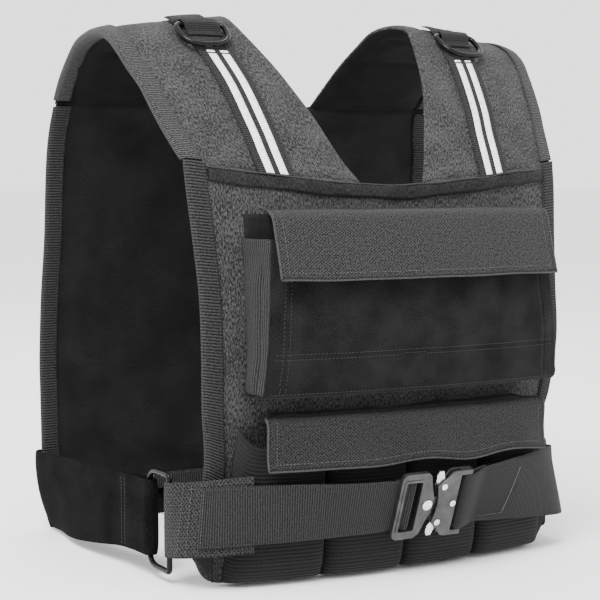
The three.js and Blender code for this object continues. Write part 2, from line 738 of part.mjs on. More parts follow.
// A flat strip on the pad, from the chest to a place along it, at a height above the outside
function padStrip({ to, offset, width, lift, thickness, columns }) {
  const sections = padAlong.filter((t) => t <= to).map((t) => {
    const s = smoothColumn(webRows, 'along', 'across', t);
    const padWidth = neckEdge.getPoint(t).distanceTo(armEdge.getPoint(t));
    const corner = (side, height) => {
      const sideS = s + (offset + side * width / 2) / padWidth;
      const point = padOutside(sideS, t);
      return point.addScaledVector(padNormal(sideS, t), height);
    };
    const top = lift + thickness;
    const low = columns.map((side) => corner(side, lift));
    return [...low, ...columns.map((side) => corner(side, top)).reverse()];
  });
  return sweptGeometry(sections, stripOutline(columns));
}

addPair('shoulder_webbing', padStrip({
  to: webEndPlace,
  offset: 0,
  width: shoulderWebWidth,
  lift: pieceGap,
  thickness: webThickness,
  columns: [-1, 0, 1],
}), 'webbing');

for (const [name, side] of [['stripe_inner', -1], ['stripe_outer', 1]]) {
  addPair(name, padStrip({
    to: stripeEndPlace,
    offset: side * stripeSpacing / 2,
    width: stripeWidth,
    lift: 2 * pieceGap + webThickness,
    thickness: stripeThickness,
    columns: [-1, 1],
  }), 'reflective');
}

// Hem over the seam between the pads and the front panel
const hemBandHeight = 11;
const hemBandHalf = chestHalfWidth - tapeWidth - 2;
const hemBandSections = shares(22).map((share) => {
  const x = (2 * share - 1) * hemBandHalf;
  const topZ = hemLineZ(x) - pieceGap;
  const corner = (depth, drop) => offFront(x, depth, topZ - drop);
  const far = pieceGap + 2.4;
  return [
    corner(pieceGap, 0),
    corner(far, 0),
    corner(far, hemBandHeight),
    corner(pieceGap, hemBandHeight),
  ];
});
const squareOutline = [[0, 0], [1, 0], [1, -1], [0, -1]].map(([x, y]) => new THREE.Vector2(x, y));
addPiece('chest_hem', sweptGeometry(hemBandSections, squareOutline), 'shell');

// Chest pouches

const across = shares(12);

// A piece on the front whose section, a list of [depth, drop below the hem ends], is swept from
// side to side; half gives its half width at a drop
function frontSweep(section, half) {
  const outline = section.map(([depth, drop]) => new THREE.Vector2(depth, -drop));
  const sections = across.map((share) => section.map(([depth, drop]) => {
    const x = (2 * share - 1) * half(drop);
    return offFront(x, depth, hemZ - drop);
  }));
  return sweptGeometry(sections, outline);
}

// A line of [depth, drop] points down the front, between two depths
function sideLine(depthTop, dropTop, depthBottom, dropBottom, steps) {
  return shares(steps).map((share) => [
    THREE.MathUtils.lerp(depthTop, depthBottom, share),
    THREE.MathUtils.lerp(dropTop, dropBottom, share),
  ]);
}

// Flap: a roof from the panel out over the pouch, then a drop in front of it that stands off below
function flapGeometry({ top, height, depth, flare, half }) {
  const outerDepth = depth + clothThickness;
  return frontSweep([
    [pieceGap, top],
    ...sideLine(outerDepth, top, outerDepth + flare, top + height, 3),
    ...sideLine(depth + flare, top + height, depth, top + clothThickness, 3),
    [pieceGap, top + clothThickness],
  ], () => half);
}

const upperPouchTop = upperFlapTop + upperPouchDrop;
const upperPouchBottom = upperPouchTop + upperPouchHeight;
const upperFlapDepth = upperPouchDepth + pieceGap;

function upperPouchHalf(drop) {
  const share = (drop - upperPouchTop) / upperPouchHeight;
  return THREE.MathUtils.lerp(pouchTopHalf, pouchBottomHalf, share);
}

const wallDepth = upperPouchDepth - clothThickness;
addPiece('upper_pouch_front', frontSweep([
  ...sideLine(upperPouchDepth, upperPouchTop, upperPouchDepth, upperPouchBottom, 5),
  [pieceGap, upperPouchBottom],
  [pieceGap, upperPouchBottom - clothThickness],
  ...sideLine(wallDepth, upperPouchBottom - clothThickness, wallDepth, upperPouchTop, 5),
], upperPouchHalf), 'loop');

addPiece('upper_flap', flapGeometry({
  top: upperFlapTop,
  height: upperFlapHeight,
  depth: upperFlapDepth,
  flare: upperFlapFlare,
  half: upperFlapHalf,
}), 'flap');

// Side wall of the upper pouch, from the panel out to the back of the front wall
function sideWallPoint(u, v, inner) {
  const drop = THREE.MathUtils.lerp(upperPouchTop, upperPouchBottom - clothThickness - pieceGap, v);
  const frontHalfWidth = upperPouchHalf(drop);
  const x = THREE.MathUtils.lerp(pouchRootHalf, frontHalfWidth, u) - (inner ? clothThickness : 0);
  const depth = THREE.MathUtils.lerp(pieceGap, wallDepth - pieceGap, u);
  return offFront(x, depth, hemZ - drop);
}

addPair('upper_pouch_side', wallGeometry(
  (u, v) => sideWallPoint(u, v, false),
  (u, v) => sideWallPoint(u, v, true),
  shares(2),
  shares(6),
), 'tape');

addPiece('lower_flap', flapGeometry({
  top: lowerFlapTop,
  height: lowerFlapHeight,
  depth: lowerFlapDepth,
  flare: lowerFlapFlare,
  half: lowerFlapHalf,
}), 'flap');

// Lower pockets: soft boxes open at the top, with rounded lower ends; the end ones widen downwards
const pocketRoundness = 5; // power of the rounded section: 2 is an ellipse, more is squarer
const pocketGap = 1; // between neighbours
function pocketPoint(index, u, v, inner) {
  const wall = inner ? pocketWall : 0;
  const drop = pocketTop + v * (pocketHeight - wall);
  const middle = pocketCount / 2;
  const endHalf = THREE.MathUtils.lerp(endPocketTopHalf, endPocketBottomHalf, v);
  const edgeAt = (place) => {
    const isEnd = Math.abs(place - middle) === middle;
    return isEnd ? Math.sign(place - middle) * endHalf : (place - middle) * pocketPitch;
  };
  const left = edgeAt(index) + pocketGap / 2 + wall;
  const right = edgeAt(index + 1) - pocketGap / 2 - wall;
  const angle = Math.PI * (1 - u);
  const power = 2 / pocketRoundness;
  const sideShare = Math.sign(Math.cos(angle)) * Math.abs(Math.cos(angle)) ** power;
  const outShare = Math.abs(Math.sin(angle)) ** power;
  const bottomShare = (1 - v ** (2 * pocketRoundness)) ** (1 / pocketRoundness);
  const fullDepth = THREE.MathUtils.lerp(pocketTopDepth, pocketBottomDepth, v) - wall;
  const x = (left + right) / 2 + sideShare * (right - left) / 2;
  const depth = pieceGap + (fullDepth - pieceGap) * outShare * bottomShare;
  return offFront(x, depth, hemZ - drop);
}

const pocketAcross = shares(10);
const pocketDown = [0, 0.25, 0.5, 0.75, 0.9, 0.97, 1];
for (let index = 0; index < pocketCount; index += 1) {
  addPiece(`lower_pocket_${index + 1}`, wallGeometry(
    (u, v) => pocketPoint(index, u, v, false),
    (u, v) => pocketPoint(index, u, v, true),
    pocketAcross,
    pocketDown,
  ), 'loop');
}

// Waist belt

const beltZ = hemZ - beltDrop;
const webPitch = webThickness + layerGap; // from one layer of web to the next
// middle of the buckle's thickness in front of the belt's centre line
const buckleStand = webPitch + webThickness / 2 + pieceGap + frameThickness / 2;

// Place on the right half of the front web's centre line, with its directions: along the web to
// the middle, up across its height, and out of its face
function beltFrame(share) {
  const at = (along) => new THREE.Vector3(
    smoothColumn(beltRows, 'along', 'across', along) * sideRingX,
    -THREE.MathUtils.lerp(sideRingBarY, beltReach, smoothColumn(beltRows, 'along', 'reach', along)),
    beltZ - ringSag * smoothColumn(beltRows, 'along', 'sag', along),
  );
  const step = 0.01;
  const forward = at(Math.min(share + step, 1)).sub(at(Math.max(share - step, 0)));
  forward.z = 0;
  forward.normalize();
  const lean = THREE.MathUtils.degToRad(buckleLean) * smoothColumn(beltRows, 'along', 'lean', share);
  const level = new THREE.Vector3(-forward.y, forward.x, 0);
  return {
    place: at(share),
    forward,
    up: new THREE.Vector3(0, 0, Math.cos(lean)).addScaledVector(level, Math.sin(lean)),
    out: level.clone().multiplyScalar(Math.cos(lean)).setZ(-Math.sin(lean)),
  };
}

// Share along the front web at a distance from the middle
function beltShareAt(x) {
  let low = 0;
  let high = 1;
  for (let round = 0; round < 30; round += 1) {
    const middle = (low + high) / 2;
    if (beltFrame(middle).place.x > x) low = middle;
    else high = middle;
  }
  return low;
}

// Section of a strap: it stands off its line by out, and is turned about the strap's height
function strapSection(frame, { out, along = 0, turn = 0, height, thickness, rises = [-1, 1] }) {
  const centre = frame.place.clone()
    .addScaledVector(frame.out, out)
    .addScaledVector(frame.forward, along);
  const facing = frame.out.clone().multiplyScalar(Math.cos(turn))
    .addScaledVector(frame.forward, Math.sin(turn));
  const corner = (rise, side) => centre.clone()
    .addScaledVector(frame.up, rise * height / 2)
    .addScaledVector(facing, side * thickness / 2);
  const inner = rises.map((rise) => corner(rise, -1));
  return [...inner.reverse(), ...rises.map((rise) => corner(rise, 1))];
}

function strapOutline(rises) {
  return [...[...rises].reverse().map((rise) => [-1, rise]), ...rises.map((rise) => [1, rise])]
    .map(([x, y]) => new THREE.Vector2(x, y));
}

// Places across the height of a web at which its twist is followed
const webRises = [-1, 0, 1];

// Sections round a bar, from the inner layer over the far side to the outer one; side is -1 where
// the bar is at the start of the line and 1 at its end
function turnSections(frame, { middle, radius, side, steps, ...strap }) {
  return shares(steps).map((share) => {
    const turn = Math.PI * (1 - share);
    return strapSection(frame, {
      out: middle + radius * Math.cos(turn),
      along: side * radius * Math.sin(turn),
      turn: side * turn,
      ...strap,
    });
  });
}

// How far a layer of the front web stands off at the side ring, blending into its place further on
const ringTurn = sideRingWire / 2 + pieceGap + webThickness / 2;
const ringBlend = 0.24;
function fromRing(share, placeFurtherOn, sign) {
  const blend = THREE.MathUtils.smoothstep(share, 0, ringBlend);
  return THREE.MathUtils.lerp(sign * ringTurn, placeFurtherOn, blend);
}

function spread(from, to, steps) {
  return shares(steps).map((share) => THREE.MathUtils.lerp(from, to, share));
}

// Layers that lie on each other share their places along the web
const wideEnd = beltShareAt(wideWebEndX);
const narrowStart = beltShareAt(narrowWebStartX);
const evenPlaces = spread(0, 0.8, 20);
const beltPlaces = [...evenPlaces, wideEnd, narrowStart].sort((a, b) => a - b);
const placesBetween = (low, high) => beltPlaces.filter((share) => share >= low && share <= high);

// Wide web, folded round the side ring's bar, from its inner end to its outer end
const ringEndLayers = (heightAt) => [
  ...placesBetween(0.01, wideEnd).reverse().map((share) => strapSection(beltFrame(share), {
    out: fromRing(share, -webPitch, -1),
    turn: Math.PI,
    height: heightAt(share),
    thickness: webThickness,
    rises: webRises,
  })),
  ...turnSections(beltFrame(0), {
    middle: 0,
    radius: ringTurn,
    side: -1,
    steps: 6,
    height: heightAt(0),
    thickness: webThickness,
    rises: webRises,
    rises: webRises,
  }),
];
const outerLayer = (places, heightAt, outAt) => places.map((share) => strapSection(beltFrame(share), {
  out: outAt(share),
  height: heightAt(share),
  thickness: webThickness,
  rises: webRises,
}));

addPiece('belt_web_wide', mirrored(sweptGeometry([
  ...ringEndLayers(() => wideWebHeight),
  ...outerLayer(placesBetween(0.01, wideEnd), () => wideWebHeight, (share) => fromRing(share, 0, 1)),
], strapOutline(webRises))), 'webbing');

// Narrow web on the left: on the wide one, behind the buckle's side bar and round its centre bar
const centreBarTurn = centreBarWidth * Math.SQRT1_2 + pieceGap + webThickness / 2;
const centreBarOut = buckleStand - centreBarDepth;
const slotWebHeight = slotHeight - 2 * pieceGap;
const beforeSlot = beltShareAt(-maleLeft + 12);
const atSideBar = beltShareAt(-slotLeft - 0.5);
const atCentreBar = beltShareAt(-centreBarX);
const narrowTurns = turnSections(beltFrame(atCentreBar), {
  middle: centreBarOut,
  radius: centreBarTurn,
  side: 1,
  steps: 6,
  height: slotWebHeight,
  thickness: webThickness,
  rises: webRises,
}).reverse();
const narrowReturn = [
  [atSideBar, 0, slotWebHeight],
  [beltShareAt(-maleLeft + 2), 0, slotWebHeight],
].map(([share, out, height]) => strapSection(beltFrame(share), {
  out,
  turn: Math.PI,
  height,
  thickness: webThickness,
  rises: webRises,
}));
addPiece('belt_web_narrow', mirrored(sweptGeometry([
  ...outerLayer(
    [...placesBetween(narrowStart, beforeSlot), beforeSlot],
    () => narrowWebHeight,
    () => webPitch,
  ),
  ...outerLayer([beltShareAt(-maleLeft), atSideBar], () => slotWebHeight, () => webPitch),
  ...narrowTurns,
  ...narrowReturn,
], strapOutline(webRises))), 'webbing');

// Web on the right: folded round the side ring's bar and round the bar of the female half
const femaleTurn = femaleBarWidth * Math.SQRT1_2 + pieceGap + webThickness / 2;
const femaleWebHeight = buckleHeight - 2 * armHeight - 2 * pieceGap;
const atFemaleBar = beltShareAt(femaleBarX);
const nearFemaleBar = beltShareAt(femaleBarX + barBlend);
function rightWebHeight(share) {
  const extra = smoothColumn(beltRows, 'along', 'width', share) * (wideWebHeight - femaleWebHeight);
  return femaleWebHeight + extra;
}
function towardsBar(share, placeBefore, sign) {
  const blend = THREE.MathUtils.smoothstep(share, nearFemaleBar, atFemaleBar);
  return THREE.MathUtils.lerp(placeBefore, buckleStand + sign * femaleTurn, blend);
}
const femaleTurns = turnSections(beltFrame(atFemaleBar), {
  middle: buckleStand,
  radius: femaleTurn,
  side: 1,
  steps: 6,
  height: femaleWebHeight,
  thickness: webThickness,
  rises: webRises,
}).reverse();
addPiece('belt_web_right', sweptGeometry([
  ...ringEndLayers(rightWebHeight),
  ...outerLayer(
    [...placesBetween(0.01, nearFemaleBar - 0.02), nearFemaleBar],
    rightWebHeight,
    (share) => fromRing(share, 0, 1),
  ),
  ...outerLayer(
    spread(nearFemaleBar, atFemaleBar, 4).slice(1, -1),
    rightWebHeight,
    (share) => towardsBar(share, 0, 1),
  ),
  ...femaleTurns,
  ...spread(atFemaleBar, nearFemaleBar, 4).slice(1).map((share) => strapSection(beltFrame(share), {
    out: towardsBar(share, -webPitch, -1),
    turn: Math.PI,
    height: femaleWebHeight,
    thickness: webThickness,
    rises: webRises,
  })),
], strapOutline(webRises)), 'webbing');

// Strap round the sides and the back, folded round both side rings
const backBeltZ = beltZ - sideRingDrop;
const ringBowY = -sideRingBarY + sideRingDepth - sideRingWire;
const backCrestY = backPanelOutsideY(0.9 * sideRingX);

function backPanelOutsideY(x) {
  return backFaceY(x, backBeltZ + backBeltHeight / 2) + padThickness + backBeltStand + beltThickness / 2;
}

function sideFrame(share) {
  const at = (along) => new THREE.Vector3(
    smoothColumn(sideRows, 'along', 'across', along) * sideRingX,
    THREE.MathUtils.lerp(ringBowY - 3, backCrestY, smoothColumn(sideRows, 'along', 'reach', along)),
    backBeltZ - backBeltSag * smoothColumn(sideRows, 'along', 'sag', along),
  );
  const step = 0.01;
  const forward = at(Math.min(share + step, 1)).sub(at(Math.max(share - step, 0))).normalize();
  return {
    place: at(share),
    forward,
    up: new THREE.Vector3(0, 0, 1),
    out: new THREE.Vector3(forward.y, -forward.x, 0),
  };
}

const backTurn = sideRingWire / 2 + pieceGap + beltThickness / 2;
const layerPitch = beltThickness + pieceGap;
const pastBow = 0.05; // the strap keeps clear of the wire up to here
const overlapEnd = backBeltOverlap / (backCrestY - ringBowY);
function sideHeight(share) {
  const blend = THREE.MathUtils.smoothstep(share, 0.15, 0.6);
  return THREE.MathUtils.lerp(backBeltRingHeight, backBeltHeight, blend);
}
function sideSection(share, out, turn) {
  return strapSection(sideFrame(share), {
    out,
    turn,
    height: sideHeight(share),
    thickness: beltThickness,
  });
}
const sideOuterShares = [0.05, 0.12, 0.2, 0.3, 0.45, 0.6, 0.7, 0.78, 0.85, 0.9, 0.95];
const rightHalf = [
  ...[overlapEnd, 0.16, 0.08].map((share) => {
    const blend = THREE.MathUtils.smoothstep(share, pastBow, 0.25);
    return sideSection(share, THREE.MathUtils.lerp(-backTurn, -layerPitch, blend), Math.PI);
  }),
  ...turnSections(sideFrame(0), {
    middle: 0,
    radius: backTurn,
    side: -1,
    steps: 6,
    height: backBeltRingHeight,
    thickness: beltThickness,
  }),
  ...sideOuterShares.map((share) => {
    const blend = THREE.MathUtils.smoothstep(share, pastBow, 0.25);
    return sideSection(share, THREE.MathUtils.lerp(backTurn, 0, blend), 0);
  }),
  ...[0.85, 0.7, 0.5, 0.3, 0.1].map((across) => {
    const x = across * sideRingX;
    const frame = sideFrame(1);
    frame.place.set(x, backPanelOutsideY(x), backBeltZ - backBeltSag);
    frame.out.set(0, 1, 0);
    return strapSection(frame, { out: 0, height: backBeltHeight, thickness: beltThickness });
  }),
];
const leftHalf = rightHalf.map((section) => section.map((point) => point.clone().setX(-point.x)));
addPiece('back_belt', sweptGeometry([...rightHalf, ...leftHalf.reverse()], strapOutline([-1, 1])), 'nap');

// Rings

// A ring of round wire along a closed path
function wireGeometry(path, steps, diameter) {
  const sides = 6;
  const frames = path.computeFrenetFrames(steps, true);
  const sections = [];
  for (let step = 0; step < steps; step += 1) {
    const centre = path.getPointAt(step / steps);
    sections.push(shares(sides).slice(0, -1).map((share) => {
      const angle = share * 2 * Math.PI;
      return centre.clone()
        .addScaledVector(frames.normals[step], Math.cos(angle) * diameter / 2)
        .addScaledVector(frames.binormals[step], Math.sin(angle) * diameter / 2);
    }));
  }
  return sweptGeometry(sections);
}

// Closed centre line of a D-ring: its straight bar lies along one direction and its bow reaches
// out along the other
function ringPath({ barMiddle, barAlong, bowOut, width, depth, wire, roundness, bend }) {
  const half = (width - wire) / 2;
  const reach = depth - wire;
  const legEnd = 0.3 * reach;
  const flat = [];
  for (const share of spread(-0.5, 0.5, 4)) flat.push([share * 2 * (half - bend), 0]);
  flat.push([half - 0.3 * bend, 0.3 * bend]);
  for (const share of shares(12)) {
    const angle = share * Math.PI;
    const power = 2 / roundness;
    const side = Math.sign(Math.cos(angle)) * Math.abs(Math.cos(angle)) ** power;
    flat.push([half * side, legEnd + (reach - legEnd) * Math.abs(Math.sin(angle)) ** power]);
  }
  flat.push([-half + 0.3 * bend, 0.3 * bend]);
  const points = flat.map(([along, out]) => barMiddle.clone()
    .addScaledVector(barAlong, along)
    .addScaledVector(bowOut, out));
  return new THREE.CatmullRomCurve3(points, true, 'centripetal');
}

addPair('side_ring', wireGeometry(ringPath({
  barMiddle: new THREE.Vector3(sideRingX, -sideRingBarY, backBeltZ),
  barAlong: new THREE.Vector3(0, 0, 1),
  bowOut: back,
  width: sideRingHeight,
  depth: sideRingDepth,
  wire: sideRingWire,
  roundness: sideRingRoundness,
  bend: sideRingBend,
}), 22, sideRingWire), 'blackMetal');

// Shoulder D-ring: its bar lies across the webbing near the crest, its bow reaches forward
const ringAcross = smoothColumn(webRows, 'along', 'across', ringBarPlace);
const webTop = pieceGap + webThickness;
const barNormal = padNormal(ringAcross, ringBarPlace);
const barMiddle = padOutside(ringAcross, ringBarPlace).addScaledVector(barNormal, webTop + barLift);
const barDirection = padOutside(ringAcross + 0.05, ringBarPlace)
  .sub(padOutside(ringAcross - 0.05, ringBarPlace))
  .normalize();
const bowPlace = 0.37;
const bowAcross = smoothColumn(webRows, 'along', 'across', bowPlace);
const bowDirection = padOutside(bowAcross, bowPlace)
  .addScaledVector(padNormal(bowAcross, bowPlace), webTop + ringTipLift)
  .sub(barMiddle);
bowDirection.addScaledVector(barDirection, -bowDirection.dot(barDirection)).normalize();
addPair('d_ring', wireGeometry(ringPath({
  barMiddle,
  barAlong: barDirection,
  bowOut: bowDirection,
  width: ringWidth,
  depth: ringDepth,
  wire: ringWire,
  roundness: ringRoundness,
  bend: ringBend,
}), 22, ringWire), 'blackMetal');

// Keeper: a short web over the ring's bar, sewn down before and behind it
const keeperPlaces = [-1, -0.62, -0.36, -0.2, -0.08, 0.08, 0.2, 0.36, 0.62, 1];
const padLength = neckEdge.getLength() * 0.5 + armEdge.getLength() * 0.5;
const keeperSections = keeperPlaces.map((place) => {
  const t = ringBarPlace + place * keeperReach / padLength;
  const s = smoothColumn(webRows, 'along', 'across', t);
  const overBar = barLift + ringWire / 2 + pieceGap;
  const away = THREE.MathUtils.smoothstep(Math.abs(place), 0.18, 0.75);
  const lift = webTop + THREE.MathUtils.lerp(overBar, pieceGap, away);
  const padWidth = neckEdge.getPoint(t).distanceTo(armEdge.getPoint(t));
  const corner = (side, height) => {
    const sideS = s + side * keeperWidth / 2 / padWidth;
    return padOutside(sideS, t).addScaledVector(padNormal(sideS, t), height);
  };
  const top = lift + webThickness;
  return [
    corner(-1, lift), corner(0, lift), corner(1, lift),
    corner(1, top), corner(0, top), corner(-1, top),
  ];
});
addPair('ring_keeper', sweptGeometry(keeperSections, stripOutline([-1, 0, 1])), 'webbing');

// Buckle, drawn flat: x to the right, y up across the belt, z out of its face

const buckleFrame = beltFrame(1);
const bucklePlace = new THREE.Matrix4()
  .makeBasis(new THREE.Vector3(1, 0, 0), buckleFrame.up, buckleFrame.out)
  .setPosition(buckleFrame.place.clone().addScaledVector(buckleFrame.out, buckleStand));

function shapeOf(points) {
  return new THREE.Shape(points.map(([x, y]) => new THREE.Vector2(x, y)));
}

function rectangle(left, right, low, high) {
  return shapeOf([[left, low], [right, low], [right, high], [left, high]]);
}

function roundedShape(left, right, half, radius) {
  const shape = new THREE.Shape();
  shape.moveTo(left + radius, -half);
  shape.lineTo(right - radius, -half);
  shape.quadraticCurveTo(right, -half, right, -half + radius);
  shape.lineTo(right, half - radius);
  shape.quadraticCurveTo(right, half, right - radius, half);
  shape.lineTo(left + radius, half);
  shape.quadraticCurveTo(left, half, left, half - radius);
  shape.lineTo(left, -half + radius);
  shape.quadraticCurveTo(left, -half, left + radius, -half);
  return shape;
}

function roundHole(x, y, radius) {
  const hole = new THREE.Path();
  hole.absarc(x, y, radius, 0, 2 * Math.PI, true);
  return hole;
}

// A flat shape made thick, from a low to a high place out of the buckle's face
function slab(shape, low, high, holes = []) {
  shape.holes.push(...holes);
  const geometry = new THREE.ExtrudeGeometry(shape, {
    depth: high - low,
    bevelEnabled: false,
    curveSegments: 3,
  });
  geometry.translate(0, 0, low);
  return geometry;
}

function toSolid(geometry) {
  const bare = geometry.clone();
  bare.deleteAttribute('normal');
  bare.deleteAttribute('uv');
  const merged = mergeVertices(bare, 1e-4);
  return new wasm.Manifold(new wasm.Mesh({
    numProp: 3,
    vertProperties: new Float32Array(merged.getAttribute('position').array),
    triVerts: new Uint32Array(merged.getIndex().array),
  }));
}

// One body out of several that run into each other
function joined(geometries) {
  const mesh = wasm.Manifold.union(geometries.map(toSolid)).getMesh();
  const geometry = new THREE.BufferGeometry();
  geometry.setAttribute('position', new THREE.Float32BufferAttribute(mesh.vertProperties, 3));
  geometry.setIndex([...mesh.triVerts]);
  geometry.computeVertexNormals();
  return geometry;
}

function addBucklePiece(name, geometry, finish) {
  geometry.applyMatrix4(bucklePlace);
  addPiece(name, geometry, finish);
}

const half = buckleHeight / 2;
const halfFrame = frameThickness / 2;
const shaftHole = rivetShaft + rivetClearance;

// Male half: frame with a slot, a rim round it, a centre bar set back, and the tongue
const maleOutline = shapeOf([
  [maleLeft, half - 5], [maleLeft, 5 - half], [maleLeft + 2, 1.5 - half], [maleLeft + 5, -half],
  [-4, -half], [1, -half + 4], [5, -16], [9, -8], [9, 8], [5, 20], [2.5, half - 3], [-1, half],
  [maleLeft + 5, half], [maleLeft + 2, half - 1.5],
]);
const halfSlot = slotHeight / 2;
const slotAt = () => roundedShape(slotLeft, slotRight, halfSlot, 2);
const rimAt = () => roundedShape(slotLeft - ridgeWidth, slotRight + ridgeWidth, halfSlot + ridgeWidth, 3);
const centreBarOverlap = 2;
addBucklePiece('buckle_male', joined([
  slab(maleOutline, -halfFrame, halfFrame, [slotAt(), roundHole(tongueRivetX, 0, shaftHole)]),
  slab(rimAt(), halfFrame - 0.5, halfFrame + ridgeRise, [slotAt()]),
  slab(
    rectangle(
      centreBarX - centreBarWidth / 2,
      centreBarX + centreBarWidth / 2,
      -halfSlot - centreBarOverlap,
      halfSlot + centreBarOverlap,
    ),
    -centreBarDepth - centreBarWidth / 2,
    -centreBarDepth + centreBarWidth / 2,
  ),
  slab(
    shapeOf([
      [8, -tongueHalf], [tongueTipX - 3, -tongueHalf], [tongueTipX, -tongueHalf + 3],
      [tongueTipX, tongueHalf - 3], [tongueTipX - 3, tongueHalf], [8, tongueHalf],
    ]),
    -tongueThickness / 2,
    tongueThickness / 2,
  ),
]), 'blackMetal');

// Female half: two plates with arms, a spacer between them and the bar that holds the web
const halfRoom = plateSpacing / 2;
const plateShape = () => shapeOf([
  [10.5, pivotRise], [12.8, 8], [13.6, 0], [12.6, -8], [10.5, -pivotRise], [pivotX, -waistRise],
  [stepX, 1 - half], [shoulderX, -half],
  [femaleRight, -half], [femaleRight, armHeight - half], [plateRight, armHeight - half],
  [plateRight, half - armHeight], [femaleRight, half - armHeight], [femaleRight, half],
  [shoulderX, half], [stepX, half - 1], [pivotX, waistRise],
]);
const plateHoles = () => [
  roundHole(pivotX, pivotRise, shaftHole),
  roundHole(pivotX, -pivotRise, shaftHole),
  roundHole(plateRivetX, 0, shaftHole),
];
const armSpacer = (side) => slab(
  rectangle(
    plateRight,
    femaleRight,
    Math.min(side * half, side * (half - armHeight)),
    Math.max(side * half, side * (half - armHeight)),
  ),
  -halfRoom - 0.5,
  halfRoom + 0.5,
);
addBucklePiece('buckle_female', joined([
  slab(plateShape(), halfRoom, halfRoom + plateThickness, plateHoles()),
  slab(plateShape(), -halfRoom - plateThickness, -halfRoom, plateHoles()),
  armSpacer(1),
  armSpacer(-1),
  slab(
    rectangle(plateRight - spacerWidth, plateRight, armHeight - half, half - armHeight),
    -halfRoom - 0.5,
    halfRoom + 0.5,
    [roundHole(plateRivetX, 0, shaftHole)],
  ),
  slab(
    rectangle(
      femaleBarX - femaleBarWidth / 2,
      femaleBarX + femaleBarWidth / 2,
      armHeight / 2 - half,
      half - armHeight / 2,
    ),
    -femaleBarWidth / 2,
    femaleBarWidth / 2,
  ),
]), 'blackMetal');

// Release levers between the plates, one above and one below
for (const [name, side] of [['buckle_lever_top', 1], ['buckle_lever_bottom', -1]]) {
  const outline = leverRows.map(({ right, up }) => [pivotX + right, side * (pivotRise + up)]);
  addBucklePiece(name, slab(
    shapeOf(side > 0 ? outline : outline.reverse()),
    -leverThickness / 2,
    leverThickness / 2,
    [roundHole(pivotX, side * pivotRise, shaftHole)],
  ), 'brightMetal');
}

// Rivets: a shaft with a domed head at each end, standing through a thickness
function rivetGeometry(x, y, headRadius, thickness) {
  const low = thickness / 2 + rivetClearance / 2;
  const high = low + rivetHeadHeight;
  const profile = [
    [0, -high], [0.7 * headRadius, -high], [headRadius, -low], [rivetShaft, -low],
    [rivetShaft, low], [headRadius, low], [0.7 * headRadius, high], [0, high],
  ].map(([radius, z]) => new THREE.Vector2(radius, z));
  const geometry = new THREE.LatheGeometry(profile, 9);
  geometry.rotateX(Math.PI / 2);
  geometry.translate(x, y, 0);
  return geometry;
}

const femaleThickness = plateSpacing + 2 * plateThickness;
for (const [name, x, y, headRadius, thickness] of [
  ['rivet_tongue', tongueRivetX, 0, tongueRivetHead, frameThickness],
  ['rivet_lever_top', pivotX, pivotRise, rivetHead, femaleThickness],
  ['rivet_lever_bottom', pivotX, -pivotRise, rivetHead, femaleThickness],
  ['rivet_plate', plateRivetX, 0, rivetHead, femaleThickness],
]) {
  addBucklePiece(name, rivetGeometry(x, y, headRadius, thickness), 'brightMetal');
}

export default vest;
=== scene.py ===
import math

import bmesh
import bpy
import numpy as np
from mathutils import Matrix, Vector
from mathutils.bvhtree import BVHTree


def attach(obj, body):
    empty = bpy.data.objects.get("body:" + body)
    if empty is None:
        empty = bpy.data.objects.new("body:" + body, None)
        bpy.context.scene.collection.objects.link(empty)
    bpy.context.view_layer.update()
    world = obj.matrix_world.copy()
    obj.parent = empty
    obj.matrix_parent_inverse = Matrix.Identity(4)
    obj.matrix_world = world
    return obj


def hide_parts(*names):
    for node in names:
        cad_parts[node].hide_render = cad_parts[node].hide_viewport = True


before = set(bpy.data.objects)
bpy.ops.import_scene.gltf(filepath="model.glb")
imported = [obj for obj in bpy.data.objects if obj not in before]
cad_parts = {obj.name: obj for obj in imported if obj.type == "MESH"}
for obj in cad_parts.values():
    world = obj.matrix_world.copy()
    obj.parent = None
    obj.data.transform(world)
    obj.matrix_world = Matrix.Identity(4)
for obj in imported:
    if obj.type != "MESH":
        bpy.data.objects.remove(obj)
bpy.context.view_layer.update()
scene = bpy.context.scene
print("frame loaded")

# sizes that several pieces share, in millimetres
cloth = {
    "gap": 0.4,
    "seamIn": 4,  # how far a panel runs up inside the pad at a seam
    "padThick": 10,
    "shoulderThick": 12,
    "edgeThick": 6,
    "tapeGap": 0.5,
    "tapeThick": 1.2,
    "tapeWide": 15,
    "webThick": 1.6,
    "layerGap": 1.1,
    "crestZ": 16,
    "hemZ": -120,
    "seamZ": -63,
    "beltZ": -411,
    "backBeltZ": -425,
}


# a plus t times the way from a to b
def lerp(a, b, t):
    return a + (b - a) * t


# soft step from 0 at low to 1 at high
def smoothStep(x, low, high):
    t = np.clip((x - low) / (high - low), 0, 1)
    return t * t * (3 - 2 * t)


# a smooth cubic through the rows of a table: first column is the key, the slope at a row is
# that from the row before to the row after
def tableColumn(rows, column, share):
    table = np.asarray(rows, float)
    keys, values = table[:, 0], table[:, column]
    slopes = np.empty(len(keys))
    slopes[1:-1] = (values[2:] - values[:-2]) / (keys[2:] - keys[:-2])
    slopes[0] = (values[1] - values[0]) / (keys[1] - keys[0])
    slopes[-1] = (values[-1] - values[-2]) / (keys[-1] - keys[-2])
    share = np.asarray(share, float)
    i = np.clip(np.searchsorted(keys, share, side="left") - 1, 0, len(keys) - 2)
    span = keys[i + 1] - keys[i]
    t = np.clip((share - keys[i]) / span, 0, 1)
    start = (2 * t**3 - 3 * t**2 + 1) * values[i] + (t**3 - 2 * t**2 + t) * span * slopes[i]
    end = (3 * t**2 - 2 * t**3) * values[i + 1] + (t**3 - t**2) * span * slopes[i + 1]
    return start + end


